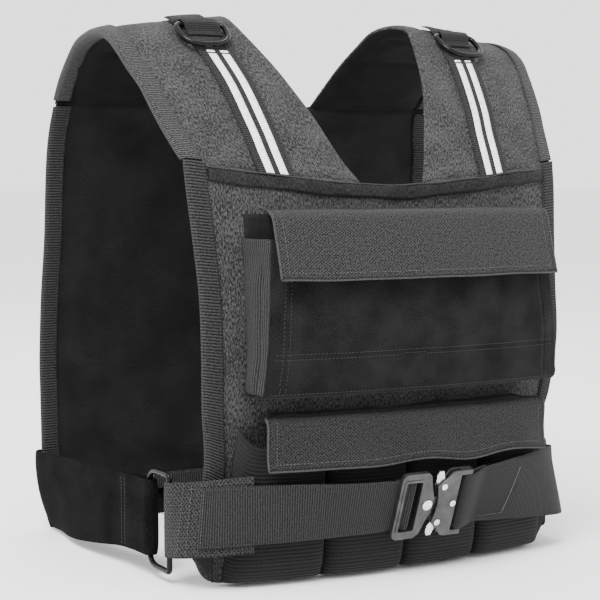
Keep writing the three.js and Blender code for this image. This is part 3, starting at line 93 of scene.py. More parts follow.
# a centripetal curve through points, at shares of its number of spans
def smoothCurve(points, t):
    points = np.asarray(points, float)
    spans = len(points) - 1
    at = np.asarray(t, float) * spans
    i = np.clip(np.floor(at).astype(int), 0, spans - 1)
    w = (at - i)[..., None]
    more = np.vstack([2 * points[0] - points[1], points, 2 * points[-1] - points[-2]])
    a, b, c, d = more[i], more[i + 1], more[i + 2], more[i + 3]
    ab = np.sqrt(np.linalg.norm(b - a, axis=-1))[..., None]
    bc = np.sqrt(np.linalg.norm(c - b, axis=-1))[..., None]
    cd = np.sqrt(np.linalg.norm(d - c, axis=-1))[..., None]
    u = bc * ((b - a) / ab - (c - a) / (ab + bc) + (c - b) / bc)
    v = bc * ((c - b) / bc - (d - b) / (bc + cd) + (d - c) / cd)
    return b + u * w + (3 * (c - b) - 2 * u - v) * w**2 + (2 * (b - c) + u + v) * w**3


# gentle unevenness: a few sine waves at random angles, seeded, over two coordinates in mm
def ripple(u, v, size, wave, seed):
    rng = np.random.default_rng(seed)
    total = 0
    for _ in range(6):
        angle, phase, share = rng.uniform(0, 2 * math.pi), rng.uniform(0, 2 * math.pi), rng.uniform(0.7, 1.6)
        along = np.cos(angle) * u + np.sin(angle) * v
        total = total + np.sin(2 * math.pi * along * share / wave + phase)
    return size * total / 3


# three coordinates, spread to one shape, as points
def pointGrid(x, y, z):
    return np.stack(np.broadcast_arrays(x, y, z), axis=-1).astype(float)


# lengths along the rows and down the middle column, in metres
def clothLengths(grid):
    rowSteps = np.linalg.norm(np.diff(grid, axis=1), axis=-1)
    u = np.concatenate([np.zeros((grid.shape[0], 1)), np.cumsum(rowSteps, axis=1)], axis=1)
    middle = grid.shape[1] // 2
    u = u - u[:, middle : middle + 1]
    downSteps = np.linalg.norm(np.diff(grid[:, middle], axis=0), axis=-1)
    v = np.concatenate([[0], np.cumsum(downSteps)])
    return np.stack([u, np.broadcast_to(v[:, None], u.shape)], axis=-1) * 0.001


# a mesh from points in mm and quads, with its cloth lengths, riding on a body
def meshFrom(name, points, quads, lengths, finish, body, replaced=(), smooth=True):
    mesh = bpy.data.meshes.new(name)
    quads = np.asarray(quads, np.int32)
    mesh.from_pydata((points * 0.001).tolist(), [], quads.tolist())
    mesh.validate()
    layer = mesh.uv_layers.new(name="cloth")
    corners = np.empty(len(mesh.loops), np.int32)
    mesh.loops.foreach_get("vertex_index", corners)
    layer.data.foreach_set("uv", lengths[corners].astype(np.float32).ravel())
    mesh.polygons.foreach_set("use_smooth", [smooth] * len(mesh.polygons))
    piece = bpy.data.objects.new(name, mesh)
    scene.collection.objects.link(piece)
    mesh.materials.append(finish)
    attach(piece, body)
    if replaced:
        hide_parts(*replaced)
    return piece


# quads of a grid of rows by columns whose first point has the number start
def gridQuads(rows, columns, start=0, flip=False, closedRows=False, closedColumns=False):
    r = np.arange(rows if closedRows else rows - 1)[:, None]
    c = np.arange(columns if closedColumns else columns - 1)[None, :]
    a = r * columns + c
    b = r * columns + (c + 1) % columns
    d = ((r + 1) % rows) * columns + c
    e = ((r + 1) % rows) * columns + (c + 1) % columns
    quads = np.stack([a, b, e, d], axis=-1).reshape(-1, 4) + start
    return quads[:, ::-1] if flip else quads


# quads that join the edges of two grids of one size
def rimQuads(rows, columns, second):
    at = np.arange(rows * columns).reshape(rows, columns)
    edge = np.concatenate([at[0, :], at[1:, -1], at[-1, -2::-1], at[-2:0:-1, 0]])
    after = np.roll(edge, -1)
    return np.stack([edge, edge + second, after + second, after], axis=-1)


# volume by the sum of each face's tetrahedron to the origin; its sign shows which way faces point
def turnedOut(points, quads):
    a, b, c, d = (points[quads[:, i]] for i in range(4))
    volume = np.einsum("ij,ij->i", a, np.cross(b, c)).sum() + np.einsum("ij,ij->i", a, np.cross(c, d)).sum()
    return quads[:, ::-1] if volume < 0 else quads


# a wall between two grids, closed all round
def wallPiece(name, outer, inner, finish, replaced=(), body="vest", smooth=True, lining=None):
    rows, columns = outer.shape[:2]
    count = rows * columns
    points = np.concatenate([outer.reshape(-1, 3), inner.reshape(-1, 3)])
    quads = np.concatenate([
        gridQuads(rows, columns),
        gridQuads(rows, columns, start=count, flip=True),
        rimQuads(rows, columns, count),
    ])
    lengths = clothLengths(outer).reshape(-1, 2)
    quads = turnedOut(points, quads)
    piece = meshFrom(name, points, quads, np.concatenate([lengths, lengths]), finish, body, replaced, smooth)
    if lining is not None:
        face = (rows - 1) * (columns - 1)
        layers = np.zeros(len(quads), np.int32)
        layers[face : 2 * face] = 1
        piece.data.materials.append(lining)
        piece.data.polygons.foreach_set("material_index", layers)
    return piece


# a closed profile carried along a path: sections is stations by corners; the ends are fans
def sweptPiece(name, sections, finish, replaced=(), body="vest", closed=False):
    rows, columns = sections.shape[:2]
    points = sections.reshape(-1, 3)
    quads = gridQuads(rows, columns, closedRows=closed, closedColumns=True)
    around = np.linalg.norm(np.diff(sections, axis=1, append=sections[:, :1]), axis=-1).cumsum(axis=1)
    down = np.concatenate([[0], np.linalg.norm(np.diff(sections.mean(axis=1), axis=0), axis=-1).cumsum()])
    lengths = np.stack([around, np.broadcast_to(down[:, None], around.shape)], axis=-1).reshape(-1, 2) * 0.001
    if not closed:
        caps = []
        for row in (0, rows - 1):
            ring = row * columns + np.arange(columns)
            half = columns // 2
            for i in range(half - 1):
                cap = [ring[i], ring[i + 1], ring[columns - 2 - i], ring[columns - 1 - i]]
                caps.append(cap if row else cap[::-1])
        caps = np.array(caps)
        same = np.sort(caps, axis=1)
        caps = caps[(np.diff(same, axis=1) > 0).all(axis=1)]
        quads = np.concatenate([quads, caps])
    quads = turnedOut(points, quads)
    return meshFrom(name, points, quads, lengths, finish, body, replaced)


# flat size of a sheet, measured along one of its faces before it was folded or hung
def cutSheet(piece, grid):
    corner, right, below = grid[:-1, :-1], grid[:-1, 1:], grid[1:, :-1]
    area = np.linalg.norm(np.cross(right - corner, below - corner), axis=-1).sum() * 1e-6
    width = np.linalg.norm(np.diff(grid, axis=1), axis=-1).sum(axis=1).max() * 0.001
    length = np.linalg.norm(np.diff(grid, axis=0), axis=-1).sum(axis=0).max() * 0.001
    area = min(area, width * length)
    print(f"{piece.name}: {width * 1000:.0f} by {length * 1000:.0f} mm flat")
    return piece


# the same points with x turned round
def mirrorPoints(points):
    return points * np.array([-1.0, 1.0, 1.0])


shade = 0.47  # one factor on every colour, against the strength of the sky


# a node tree built line by line: each call adds a node and gives its output
class Recipe:
    # a new material, with the plain values of its shader set
    def __init__(self, name, **shader):
        self.material = bpy.data.materials.new(name)
        self.material.use_nodes = True
        self.tree = self.material.node_tree
        self.shader = self.tree.nodes["Principled BSDF"]
        for key, value in shader.items():
            self.shader.inputs[key.replace("_", " ")].default_value = value

    # one node: sockets take a value, or the output of another node
    def node(self, kind, output=0, sockets=None, **facts):
        made = self.tree.nodes.new("ShaderNode" + kind)
        for key, value in facts.items():
            setattr(made, key, value)
        for key, value in (sockets or {}).items():
            if isinstance(value, bpy.types.NodeSocket):
                self.tree.links.new(value, made.inputs[key])
            else:
                made.inputs[key].default_value = value
        return made.outputs[output]

    # one sum on up to three numbers
    def maths(self, operation, a, b=0.0, c=0.0):
        return self.node("Math", sockets={0: a, 1: b, 2: c}, operation=operation)

    # the piece's own cloth lengths, in metres, as two numbers
    def clothAxes(self):
        uv = self.node("UVMap", uv_map="cloth")
        split = self.tree.nodes.new("ShaderNodeSeparateXYZ")
        self.tree.links.new(uv, split.inputs[0])
        return uv, split.outputs[0], split.outputs[1]

    # sine of a length that repeats every period metres
    def wave(self, length, period, phase=0.0):
        return self.maths("SINE", self.maths("MULTIPLY_ADD", length, 2 * math.pi / period, phase))

    # noise whose grains are about size metres across
    def noise(self, vector, size, detail=3.0, rough=0.55):
        return self.node("TexNoise", sockets={"Vector": vector, "Scale": 1 / size, "Detail": detail, "Roughness": rough})

    # greys at places from 0 to 1, a little cool, in straight lines between
    def ramp(self, value, stops):
        made = self.tree.nodes.new("ShaderNodeValToRGB")
        self.tree.links.new(value, made.inputs[0])
        ramp = made.color_ramp
        while len(ramp.elements) < len(stops):
            ramp.elements.new(0.5)
        for element, (place, grey) in zip(ramp.elements, stops):
            element.position = place
            element.color = (grey * shade, grey * shade, grey * shade * 1.03, 1)
        return made.outputs[0]

    # colour, gloss and bump joined to the shader
    def finish(self, color=None, height=None, depth=0.0003, strength=0.7, rough=None):
        links = self.tree.links
        if color is not None:
            links.new(color, self.shader.inputs["Base Color"])
        if rough is not None:
            links.new(rough, self.shader.inputs["Roughness"])
        if height is not None:
            bump = self.node("Bump", sockets={"Height": height, "Distance": depth, "Strength": strength})
            links.new(bump, self.shader.inputs["Normal"])
        return self.material


# plain weave: warp times weft sine, flecked by noise so that single threads stand out
def wovenFinish(name, thread, dark, light, fleck=0.5, blotch=0.02, depth=0.0003, rough=0.9, sheen=0.15):
    r = Recipe(name, Roughness=rough, Specular_IOR_Level=0.15, Sheen_Weight=sheen, Sheen_Roughness=0.5)
    uv, u, v = r.clothAxes()
    weave = r.maths("MULTIPLY", r.wave(u, thread), r.wave(v, thread))
    threads = r.node("CombineXYZ", sockets={0: u, 1: r.maths("MULTIPLY", v, 0.45), 2: 0.0})
    warp = r.noise(threads, thread * 0.8, 2)
    cloudy = r.noise(uv, blotch, 3)
    mixed = r.maths("ADD", r.maths("MULTIPLY", warp, fleck), r.maths("MULTIPLY", cloudy, 1 - fleck))
    mixed = r.maths("MULTIPLY_ADD", weave, 0.09, mixed)
    color = r.ramp(mixed, [(0.4, dark), (0.5, lerp(dark, light, 0.42)), (0.6, light)])
    height = r.maths("MULTIPLY_ADD", warp, 0.6, weave)
    return r.finish(color, height, depth, 0.75)


# ribs across the length, with finer threads along them
def ribbedFinish(name, rib, dark, light, along=True, depth=0.0004, rough=0.85, thread=0.0011):
    r = Recipe(name, Roughness=rough, Specular_IOR_Level=0.18, Sheen_Weight=0.03)
    uv, u, v = r.clothAxes()
    first, second = (v, u) if along else (u, v)
    ribs = r.wave(first, rib)
    threads = r.wave(second, thread)
    grain = r.noise(uv, 0.0016, 2)
    mixed = r.maths("MULTIPLY_ADD", ribs, 0.2, r.maths("MULTIPLY_ADD", threads, 0.05, grain))
    color = r.ramp(mixed, [(0.34, dark), (0.52, lerp(dark, light, 0.5)), (0.7, light)])
    height = r.maths("MULTIPLY_ADD", threads, 0.3, ribs)
    return r.finish(color, height, depth, 0.8)


# diamonds: two sets of slanting threads cross, and one hides the other by turns
def diamondFinish(name, thread, dark, light, depth=0.0004, rough=0.85):
    r = Recipe(name, Roughness=rough, Specular_IOR_Level=0.18, Sheen_Weight=0.03)
    uv, u, v = r.clothAxes()
    rising = r.wave(r.maths("ADD", r.maths("MULTIPLY", u, 0.8), v), thread)
    falling = r.wave(r.maths("SUBTRACT", r.maths("MULTIPLY", u, 0.8), v), thread)
    cords = r.maths("MAXIMUM", rising, falling)
    warp = r.wave(u, thread * 0.9)
    grain = r.noise(uv, 0.0018, 2)
    mixed = r.maths("MULTIPLY_ADD", cords, 0.16, r.maths("MULTIPLY_ADD", warp, 0.05, grain))
    color = r.ramp(mixed, [(0.42, dark), (0.57, lerp(dark, light, 0.5)), (0.72, light)])
    return r.finish(color, cords, depth, 0.8)


# short nap or loops: fine and coarse noise, with a soft sheen
def napFinish(name, dark, light, size=0.0012, depth=0.0005, sheen=0.5):
    r = Recipe(name, Roughness=0.97, Specular_IOR_Level=0.06, Sheen_Weight=sheen, Sheen_Roughness=0.6)
    uv, u, v = r.clothAxes()
    fine = r.noise(uv, size, 3, 0.7)
    broad = r.noise(uv, 0.03, 2)
    mixed = r.maths("MULTIPLY_ADD", broad, 0.35, r.maths("MULTIPLY", fine, 0.65))
    color = r.ramp(mixed, [(0.41, dark), (0.58, light)])
    return r.finish(color, fine, depth, 0.8)


# silver tape: a fine cross grid pressed into a bright film
def reflectiveFinish(name):
    r = Recipe(name, Roughness=0.5, Metallic=0.0)
    uv, u, v = r.clothAxes()
    grid = r.maths("MULTIPLY", r.wave(u, 0.0016), r.wave(v, 0.0016))
    grain = r.noise(uv, 0.004, 2)
    color = r.ramp(r.maths("MULTIPLY_ADD", grid, 0.12, grain), [(0.3, 1.2), (0.6, 1.7)])
    return r.finish(color, grid, 0.0001, 0.4)


# painted or plated metal: object noise varies the gloss, and worn places show lighter
def metalFinish(name, dark, light, rough, metallic, wear=0.004, shine=0.3):
    r = Recipe(name, Metallic=metallic, Specular_IOR_Level=shine)
    place = r.node("TexCoord", output=3)
    fine = r.noise(place, 0.0016, 4)
    broad = r.noise(place, wear, 3)
    color = r.ramp(broad, [(0.35, dark), (0.7, light)])
    gloss = r.maths("MULTIPLY_ADD", fine, 0.22, rough - 0.1)
    return r.finish(color, fine, 0.00002, 0.4, gloss)


# thread: one slow noise over the colour
def threadFinish(name, dark, light):
    r = Recipe(name, Roughness=0.7)
    place = r.node("TexCoord", output=3)
    color = r.ramp(r.noise(place, 0.003, 2), [(0.35, dark), (0.65, light)])
    return r.finish(color, r.noise(place, 0.0004, 1), 0.0001, 0.5)


finishes = {
    "shell": wovenFinish("shellWeave", 0.0017, 0.009, 0.118, fleck=0.8, blotch=0.03, sheen=0.03),
    "lining": wovenFinish("liningWeave", 0.0016, 0.006, 0.022, fleck=0.5, blotch=0.05, depth=0.0001, sheen=0.0),
    "padLining": wovenFinish("padLiningWeave", 0.0018, 0.004, 0.011, fleck=0.5, sheen=0.0),
    "tape": ribbedFinish("bindingRibs", 0.0026, 0.001, 0.062),
    "grosgrain": ribbedFinish("grosgrainRibs", 0.0024, 0.004, 0.06, along=False),
    "loop": napFinish("loopPile", 0.002, 0.02, sheen=0.03),
    "flap": diamondFinish("flapDiamonds", 0.0026, 0.003, 0.066),
    "webbing": ribbedFinish("webRibs", 0.0021, 0.004, 0.052),
    "plainWeb": ribbedFinish("plainWebRibs", 0.0019, 0.006, 0.033, depth=0.0002),
    "padTape": ribbedFinish("padTapeRibs", 0.0019, 0.004, 0.12, depth=0.0003),
    "wideWeb": diamondFinish("wideWebDiamonds", 0.0034, 0.0005, 0.06, depth=0.0005),
    # the same diamond cloth as the upper flap, painted darker for the shade that the upper pouch casts on the lower
    # flap
    "shadedLowFlap": diamondFinish("shadedLowFlapDiamonds", 0.0026, 0.003, 0.046),
    # a cloth like the shell, painted much darker for the shade under the chest hem's fold
    "hem": wovenFinish("shadedHemBand", 0.0017, 0.004, 0.045, fleck=0.7, sheen=0.02),
    "pocket": ribbedFinish("pocketRibs", 0.0034, 0.003, 0.014),
    # light threads for the flap piping and hems, and for the painted highlight along the top edge of the chest hem
    "highlightAndPiping": ribbedFinish("highlightAndPipingThreads", 0.0018, 0.04, 0.13),
    "reflective": reflectiveFinish("reflectiveTape"),
    "nap": napFinish("strapNap", 0.0008, 0.012, size=0.0022, depth=0.0014, sheen=0.0),
    "blackMetal": metalFinish("blackWire", 0.004, 0.01, 0.26, 0.0, shine=0.14),
    "gunMetal": metalFinish("gunMetal", 0.11, 0.18, 0.36, 0.85, wear=0.012),
    "brightMetal": metalFinish("brightSteel", 1.3, 1.9, 0.26, 1.0),
    "thread": threadFinish("greyThread", 0.05, 0.13),
    "brightThread": threadFinish("brightThread", 0.12, 0.25),
    "darkThread": threadFinish("darkThread", 0.01, 0.03),
    "blackThread": threadFinish("blackThread", 0.003, 0.01),
}
print("finishes made")


# One stitch is a spindle: five rings of four points that swell in the middle. Each is laid along
# the path, a share of its pitch long, and sinks by its own radius into what carries it.
def stitchRow(name, paths, finish="thread", pitch=3.2, share=0.68, radius=0.42, carrier=None, body="vest"):
    places, alongs, normals = [], [], []
    for path, normal in paths:
        path = np.asarray(path, float)
        steps = np.concatenate([[0], np.linalg.norm(np.diff(path, axis=0), axis=1).cumsum()])
        count = max(int(steps[-1] / pitch), 1)
        at = (np.arange(count) + 0.5) * steps[-1] / count
        place = np.stack([np.interp(at, steps, path[:, i]) for i in range(3)], axis=-1)
        ahead = np.stack([np.interp(at + pitch / 4, steps, path[:, i]) for i in range(3)], axis=-1)
        back = np.stack([np.interp(at - pitch / 4, steps, path[:, i]) for i in range(3)], axis=-1)
        along = ahead - back
        along /= np.maximum(np.linalg.norm(along, axis=1, keepdims=True), 1e-9)
        normal = np.broadcast_to(np.asarray(normal, float), path.shape)
        out = np.stack([np.interp(at, steps, normal[:, i]) for i in range(3)], axis=-1)
        places.append(place)
        alongs.append(along)
        normals.append(out)
    place, along, out = (np.concatenate(x) for x in (places, alongs, normals))
    if carrier is not None:
        tree = BVHTree.FromPolygons(
            [v.co.copy() for v in carrier.data.vertices], [p.vertices[:] for p in carrier.data.polygons]
        )
        found = [tree.find_nearest(Vector(p * 0.001)) for p in place]
        place = np.array([np.array(f[0]) * 1000 for f in found])
    out = out - np.einsum("ij,ij->i", out, along)[:, None] * along
    out /= np.maximum(np.linalg.norm(out, axis=1, keepdims=True), 1e-9)
    side = np.cross(along, out)
    rings = np.array([-0.5, -0.36, 0.0, 0.36, 0.5]) * pitch * share
    swell = np.array([0.25, 0.85, 1.0, 0.85, 0.25]) * radius
    turns = np.array([0, 1, 2, 3]) * math.pi / 2
    ring = (
        rings[None, :, None, None] * along[:, None, None, :]
        + (swell[:, None] * np.cos(turns))[None, :, :, None] * side[:, None, None, :]
        + (swell[:, None] * np.sin(turns))[None, :, :, None] * out[:, None, None, :]
    )
    points = place[:, None, None, :] + out[:, None, None, :] * radius * 0.35 + ring
    count = len(place)
    one = np.concatenate([gridQuads(5, 4, closedColumns=True), [[3, 2, 1, 0]], [[16, 17, 18, 19]]])
    quads = (one[None] + np.arange(count)[:, None, None] * 20).reshape(-1, 4)
    flat = points.reshape(-1, 3)
    quads = turnedOut(flat, quads)
    lengths = np.zeros((len(flat), 2))
    return meshFrom(name, flat, quads, lengths, finishes[finish], body)


# Blows up a closed wall from within by cloth simulation: edges within the held mask stay, and no
# point moves further than the cap.
def puffUp(piece, held, pressure, cap, frames=20):
    mesh = piece.data
    count = len(mesh.vertices)
    before = np.empty(count * 3)
    mesh.vertices.foreach_get("co", before)
    before = before.reshape(-1, 3)
    group = piece.vertex_groups.new(name="held")
    group.add([int(i) for i in np.nonzero(held)[0]], 1.0, "REPLACE")
    puff = piece.modifiers.new("puff", "CLOTH")
    settings = puff.settings
    settings.quality = 4
    settings.mass = 0.25
    settings.tension_stiffness = 12
    settings.compression_stiffness = 12
    settings.shear_stiffness = 4
    settings.bending_stiffness = 0.4
    settings.use_pressure = True
    settings.uniform_pressure_force = pressure
    settings.vertex_group_mass = "held"
    settings.effector_weights.gravity = 0
    puff.collision_settings.use_collision = False
    puff.point_cache.frame_start = 1
    puff.point_cache.frame_end = frames
    for f in range(1, frames + 1):
        scene.frame_set(f)
    shown = piece.evaluated_get(bpy.context.evaluated_depsgraph_get())
    after = np.empty(count * 3)
    shown.data.vertices.foreach_get("co", after)
    after = after.reshape(-1, 3)
    piece.modifiers.remove(puff)
    piece.vertex_groups.remove(group)
    scene.frame_set(1)
    moved = after - before
    far = np.linalg.norm(moved, axis=1, keepdims=True)
    moved *= np.minimum(1, cap * 0.001 / np.maximum(far, 1e-9))
    mesh.vertices.foreach_set("co", (before + moved).ravel())
    mesh.update()


# one step of subdivision, the same on screen and in the render
def addSubdivision(piece, levels=1):
    smooth = piece.modifiers.new("smooth", "SUBSURF")
    smooth.levels = levels
    smooth.render_levels = levels


frontPanel = {
    "chestHalf": 191,
    "waistHalf": 174,
    "hemHalf": 186,
    "tall": 356,
    "reach": 120,
    "lean": 18,
    "bow": 20,
    "hemDip": 18,
    "cornerRadius": 24,
    # drop, lean, bow, chest, hem
    "rows": [
        [0, 0, 0.92, 1, 0], [0.06, 0.19, 0.95, 0.95, 0], [0.18, 0.5, 1, 0.76, 0], [0.31, 0.83, 1, 0.6, 0],
        [0.45, 1, 1, 0.58, 0], [0.59, 0.66, 1, 0.38, 0], [0.66, 0.36, 1, 0.12, 0], [0.73, 0.22, 1.05, 0, 0.1],
        [0.82, 0.22, 1.1, 0, 0.5], [0.91, 0.11, 1.15, 0, 1], [1, 0, 1.1, 0, 1],
    ],
}


# half width at a height: the waist, plus the chest and hem spreads times their columns
def frontHalf(z):
    share = (cloth["hemZ"] - z) / frontPanel["tall"]
    chest = tableColumn(frontPanel["rows"], 3, share) * (frontPanel["chestHalf"] - frontPanel["waistHalf"])
    hem = tableColumn(frontPanel["rows"], 4, share) * (frontPanel["hemHalf"] - frontPanel["waistHalf"])
    return frontPanel["waistHalf"] + chest + hem


# outside of the panel: it leans forward by a table and bows forward as a parabola across
def frontY(x, z):
    share = (cloth["hemZ"] - z) / frontPanel["tall"]
    lean = tableColumn(frontPanel["rows"], 1, share) * frontPanel["lean"]
    bow = tableColumn(frontPanel["rows"], 2, share) * frontPanel["bow"]
    return -frontPanel["reach"] - lean - bow * (1 - (x / frontHalf(z)) ** 2)


# points off the panel by a depth, at x and z
def offFront(x, depth, z):
    return pointGrid(x, frontY(x, z) - depth, z)


# the chest line dips by a power of the share across
def hemLineZ(x):
    share = np.minimum(np.abs(x) / frontPanel["chestHalf"], 1)
    return cloth["hemZ"] - frontPanel["hemDip"] * (1 - share**1.4)


# how far a rounded lower corner rises, a quarter circle
def cornerRise(x, half, radius):
    into = np.clip(np.abs(x) - (half - radius), 0, radius)
    return radius - np.sqrt(np.maximum(radius**2 - into**2, 0))


# full thickness, thinning in a straight line to the bound edge
def edgeTaper(distance, full):
    share = np.clip((distance - cloth["tapeWide"] - 10) / cloth["tapeWide"], 0, 1)
    return cloth["edgeThick"] + (full - cloth["edgeThick"]) * share


# u runs across from -half to half, v down from the chest line to the hem
def frontPanelPoints(u, v, inner):
    sideways = 2 * u - 1
    topX = np.abs(sideways) * frontPanel["chestHalf"]
    underPad = smoothStep(topX, shoulderPad["frontCollar"], shoulderPad["frontCollar"] + 8)
    topZ = hemLineZ(topX) - cloth["gap"] + cloth["seamIn"] * underPad
    rise = cornerRise(sideways * frontPanel["hemHalf"], frontPanel["hemHalf"], frontPanel["cornerRadius"])
    z = lerp(topZ, cloth["hemZ"] - frontPanel["tall"], v) + rise * v**4
    x = sideways * frontHalf(z)
    depth = -edgeTaper(frontHalf(z) - np.abs(x), cloth["padThick"]) if inner else 0
    return offFront(x, depth, z)


backPanel = {
    "half": 210,
    "tall": 386,
    "reach": 118,
    "lean": 45,
    "bow": 19,
    "collarDip": 8,
    "collarHalf": 67,
    "cornerRadius": 52,
    "bell": 16,
    "rows": [
        [0, 0, 0], [0.05, 0.24, 0.2], [0.1, 0.4, 0.45], [0.17, 0.51, 0.7], [0.33, 0.64, 1],
        [0.48, 0.87, 1], [0.64, 1, 1], [0.71, 0.98, 1], [0.87, 0.93, 1], [1, 0.9, 1],
    ],
}


# inner face of the back panel, leaning back by a table and bowed as a parabola across
def backFaceY(x, z):
    share = (cloth["seamZ"] - z) / backPanel["tall"]
    lean = tableColumn(backPanel["rows"], 1, share) * backPanel["lean"]
    bow = tableColumn(backPanel["rows"], 2, share) * backPanel["bow"]
    return backPanel["reach"] + lean + bow * (1 - (x / backPanel["half"]) ** 2)


# the right edge bells out below the seam, as cloth that carries weight does
def flared(x, z):
    bell = smoothStep(-z, 60, 120) * (1 - smoothStep(-z, 190, 330))
    return x + backPanel["bell"] * bell * np.maximum(x / backPanel["half"], 0) ** 3


# distance to the nearest edge, round the lower corners from their centres
def backEdgeDistance(x, z):
    bottom = cloth["seamZ"] - backPanel["tall"]
    radius = backPanel["cornerRadius"]
    beyond = np.abs(x) - (backPanel["half"] - radius)
    below = bottom + radius - z
    corner = radius - np.hypot(np.maximum(beyond, 0), np.maximum(below, 0))
    straight = np.minimum(backPanel["half"] - np.abs(x), z - bottom)
    return np.where((beyond > 0) & (below > 0), corner, straight)


# u runs across, v down from the seam; the collar is scooped as a parabola
def backPanelPoints(u, v, outer):
    x = (2 * u - 1) * backPanel["half"]
    scoop = np.maximum(0, 1 - (x / backPanel["collarHalf"]) ** 2) * backPanel["collarDip"]
    rise = cornerRise(x, backPanel["half"], backPanel["cornerRadius"])
    z = lerp(cloth["seamZ"] + cloth["seamIn"] - scoop, cloth["seamZ"] - backPanel["tall"], v) + rise * v**4
    y = backFaceY(x, z)
    x = flared(x, z)
    if outer:
        y = y + edgeTaper(backEdgeDistance(x, z), cloth["padThick"])
    return pointGrid(x, y, z)


shoulderPad = {
    "half": 218,
    "neckHalf": 95,
    "frontCollar": 32,
    "slope": 17,
    "crown": 4,
    "neckRim": 0.07,
    # front or back, neck spread, reach, drop, arm spread, reach, drop
    "rows": [
        [0, 0, 1, 1, 0, 1, 1], [0, 0.17, 0.9, 0.868, 0.19, 0.89, 0.857], [0, 0.3, 0.815, 0.735, 0.37, 0.78, 0.714],
        [0, 0.43, 0.73, 0.603, 0.52, 0.69, 0.58], [0, 0.57, 0.624, 0.47, 0.67, 0.567, 0.412],
        [0, 0.7, 0.504, 0.338, 0.85, 0.44, 0.277], [0, 0.81, 0.376, 0.225, 0.96, 0.333, 0.16],
        [0, 0.92, 0.248, 0.119, 1, 0.2, 0.067], [0, 1, 0.113, 0.026, 0.96, 0.05, 0.017],
        [1, 0.82, 0.06, 0, 0.5, 0.125, 0], [1, 0.61, 0.25, 0.05, 0.25, 0.31, 0.016],
        [1, 0.61, 0.49, 0.228, 0.25, 0.53, 0.129], [1, 0.46, 0.68, 0.443, 0.25, 0.69, 0.355],
        [1, 0.29, 0.85, 0.696, 0.25, 0.845, 0.66], [1, 0, 1, 1, 0, 1, 1],
    ],
}


# both edges of a pad, each row a share of the way from crest to seam
def padEdges():
    neck, arm = [], []
    for back, nSpread, nReach, nDrop, aSpread, aReach, aDrop in shoulderPad["rows"]:
        collar = backPanel["collarHalf"] if back else shoulderPad["frontCollar"]
        panel = backPanel["half"] if back else frontPanel["chestHalf"]
        neckSeam = cloth["seamZ"] if back else float(hemLineZ(shoulderPad["frontCollar"]))
        armSeam = cloth["seamZ"] if back else cloth["hemZ"]
        if back:
            seamY = lambda x, z: float(backFaceY(x, z)) + cloth["padThick"]
        else:
            seamY = lambda x, z: float(frontY(x, z))
        crest = cloth["crestZ"]
        armCrest = crest - shoulderPad["slope"]
        neckX, armX = lerp(collar, shoulderPad["neckHalf"], nSpread), lerp(panel, shoulderPad["half"], aSpread)
        neck.append([neckX, nReach * seamY(collar, neckSeam), lerp(crest, neckSeam, nDrop)])
        arm.append([armX, aReach * seamY(panel, armSeam), lerp(armCrest, armSeam, aDrop)])
    return np.array(neck), np.array(arm)


neckPoints, armPoints = padEdges()


# a square that falls to nothing an eighth of the way from an end
def nearEnd(end, t):
    away = np.abs(t - end) / 0.12
    return np.where(away < 1, (1 - np.minimum(away, 1)) ** 2, 0)


# outside of the pad: straight from the neck edge to the arm edge, with a crown between, and
# blended into the panels at both seams
def padOutside(s, t):
    s, t = np.broadcast_arrays(np.asarray(s, float), np.asarray(t, float))
    neck, arm = smoothCurve(neckPoints, t), smoothCurve(armPoints, t)
    point = lerp(neck, arm, s[..., None])
    crown = shoulderPad["crown"] * 4 * s * (1 - s)
    nearFront, nearBack = nearEnd(0, t), nearEnd(1, t)
    free = (1 - nearFront - nearBack) * crown
    point[..., 1] -= free * np.cos(math.pi * t)
    point[..., 2] += free * np.sin(math.pi * t)
    panelZ = hemLineZ(point[..., 0])
    edgeY = lerp(neckPoints[0, 1], armPoints[0, 1], s)
    edgeZ = lerp(neckPoints[0, 2], armPoints[0, 2], s)
    point[..., 1] += nearFront * (frontY(point[..., 0], panelZ) - edgeY)
    point[..., 2] += nearFront * (panelZ - edgeZ)
    backY = lerp(neckPoints[-1, 1], armPoints[-1, 1], s)
    point[..., 1] += nearBack * (backFaceY(point[..., 0], cloth["seamZ"]) + cloth["padThick"] - backY)
    return point


# the cross product of the steps across and along, turned level at the seams
def padNormal(s, t):
    s, t = np.broadcast_arrays(np.asarray(s, float), np.asarray(t, float))
    across = padOutside(np.minimum(s + 0.01, 1), t) - padOutside(np.maximum(s - 0.01, 0), t)
    along = padOutside(s, np.minimum(t + 0.01, 1)) - padOutside(s, np.maximum(t - 0.01, 0))
    n = np.cross(across, along)
    n /= np.linalg.norm(n, axis=-1, keepdims=True)
    n = lerp(n, np.array([0.0, -1.0, 0.0]), nearEnd(0, t)[..., None])
    n = lerp(n, np.array([0.0, 1.0, 0.0]), nearEnd(1, t)[..., None])
    return n / np.linalg.norm(n, axis=-1, keepdims=True)


# the outside less the thickness, which thins at the neck rim and the arm edge
def padInside(s, t):
    s, t = np.broadcast_arrays(np.asarray(s, float), np.asarray(t, float))
    full = lerp(cloth["shoulderThick"], cloth["padThick"], nearEnd(0, t) + nearEnd(1, t))
    armTaper = lerp(full, cloth["edgeThick"], smoothStep(s, 0.84, 0.9))
    rim = shoulderPad["neckRim"]
    thick = np.where(s < rim, lerp(cloth["edgeThick"], full, s / rim), armTaper)
    return padOutside(s, t) - padNormal(s, t) * thick[..., None]


# Closed wall with its edges rounded: near the rim both faces draw in to the middle
def roundedPair(outer, inner, rows, columns, rimRows=2):
    middle = (outer + inner) / 2
    r = np.minimum(np.arange(rows), np.arange(rows)[::-1])[:, None]
    c = np.minimum(np.arange(columns), np.arange(columns)[::-1])[None, :]
    near = np.minimum(r, c) / rimRows
    keep = np.sqrt(np.clip(1 - (1 - np.minimum(near, 1)) ** 2, 0.12, 1))[..., None]
    return lerp(middle, outer, keep), lerp(middle, inner, keep)


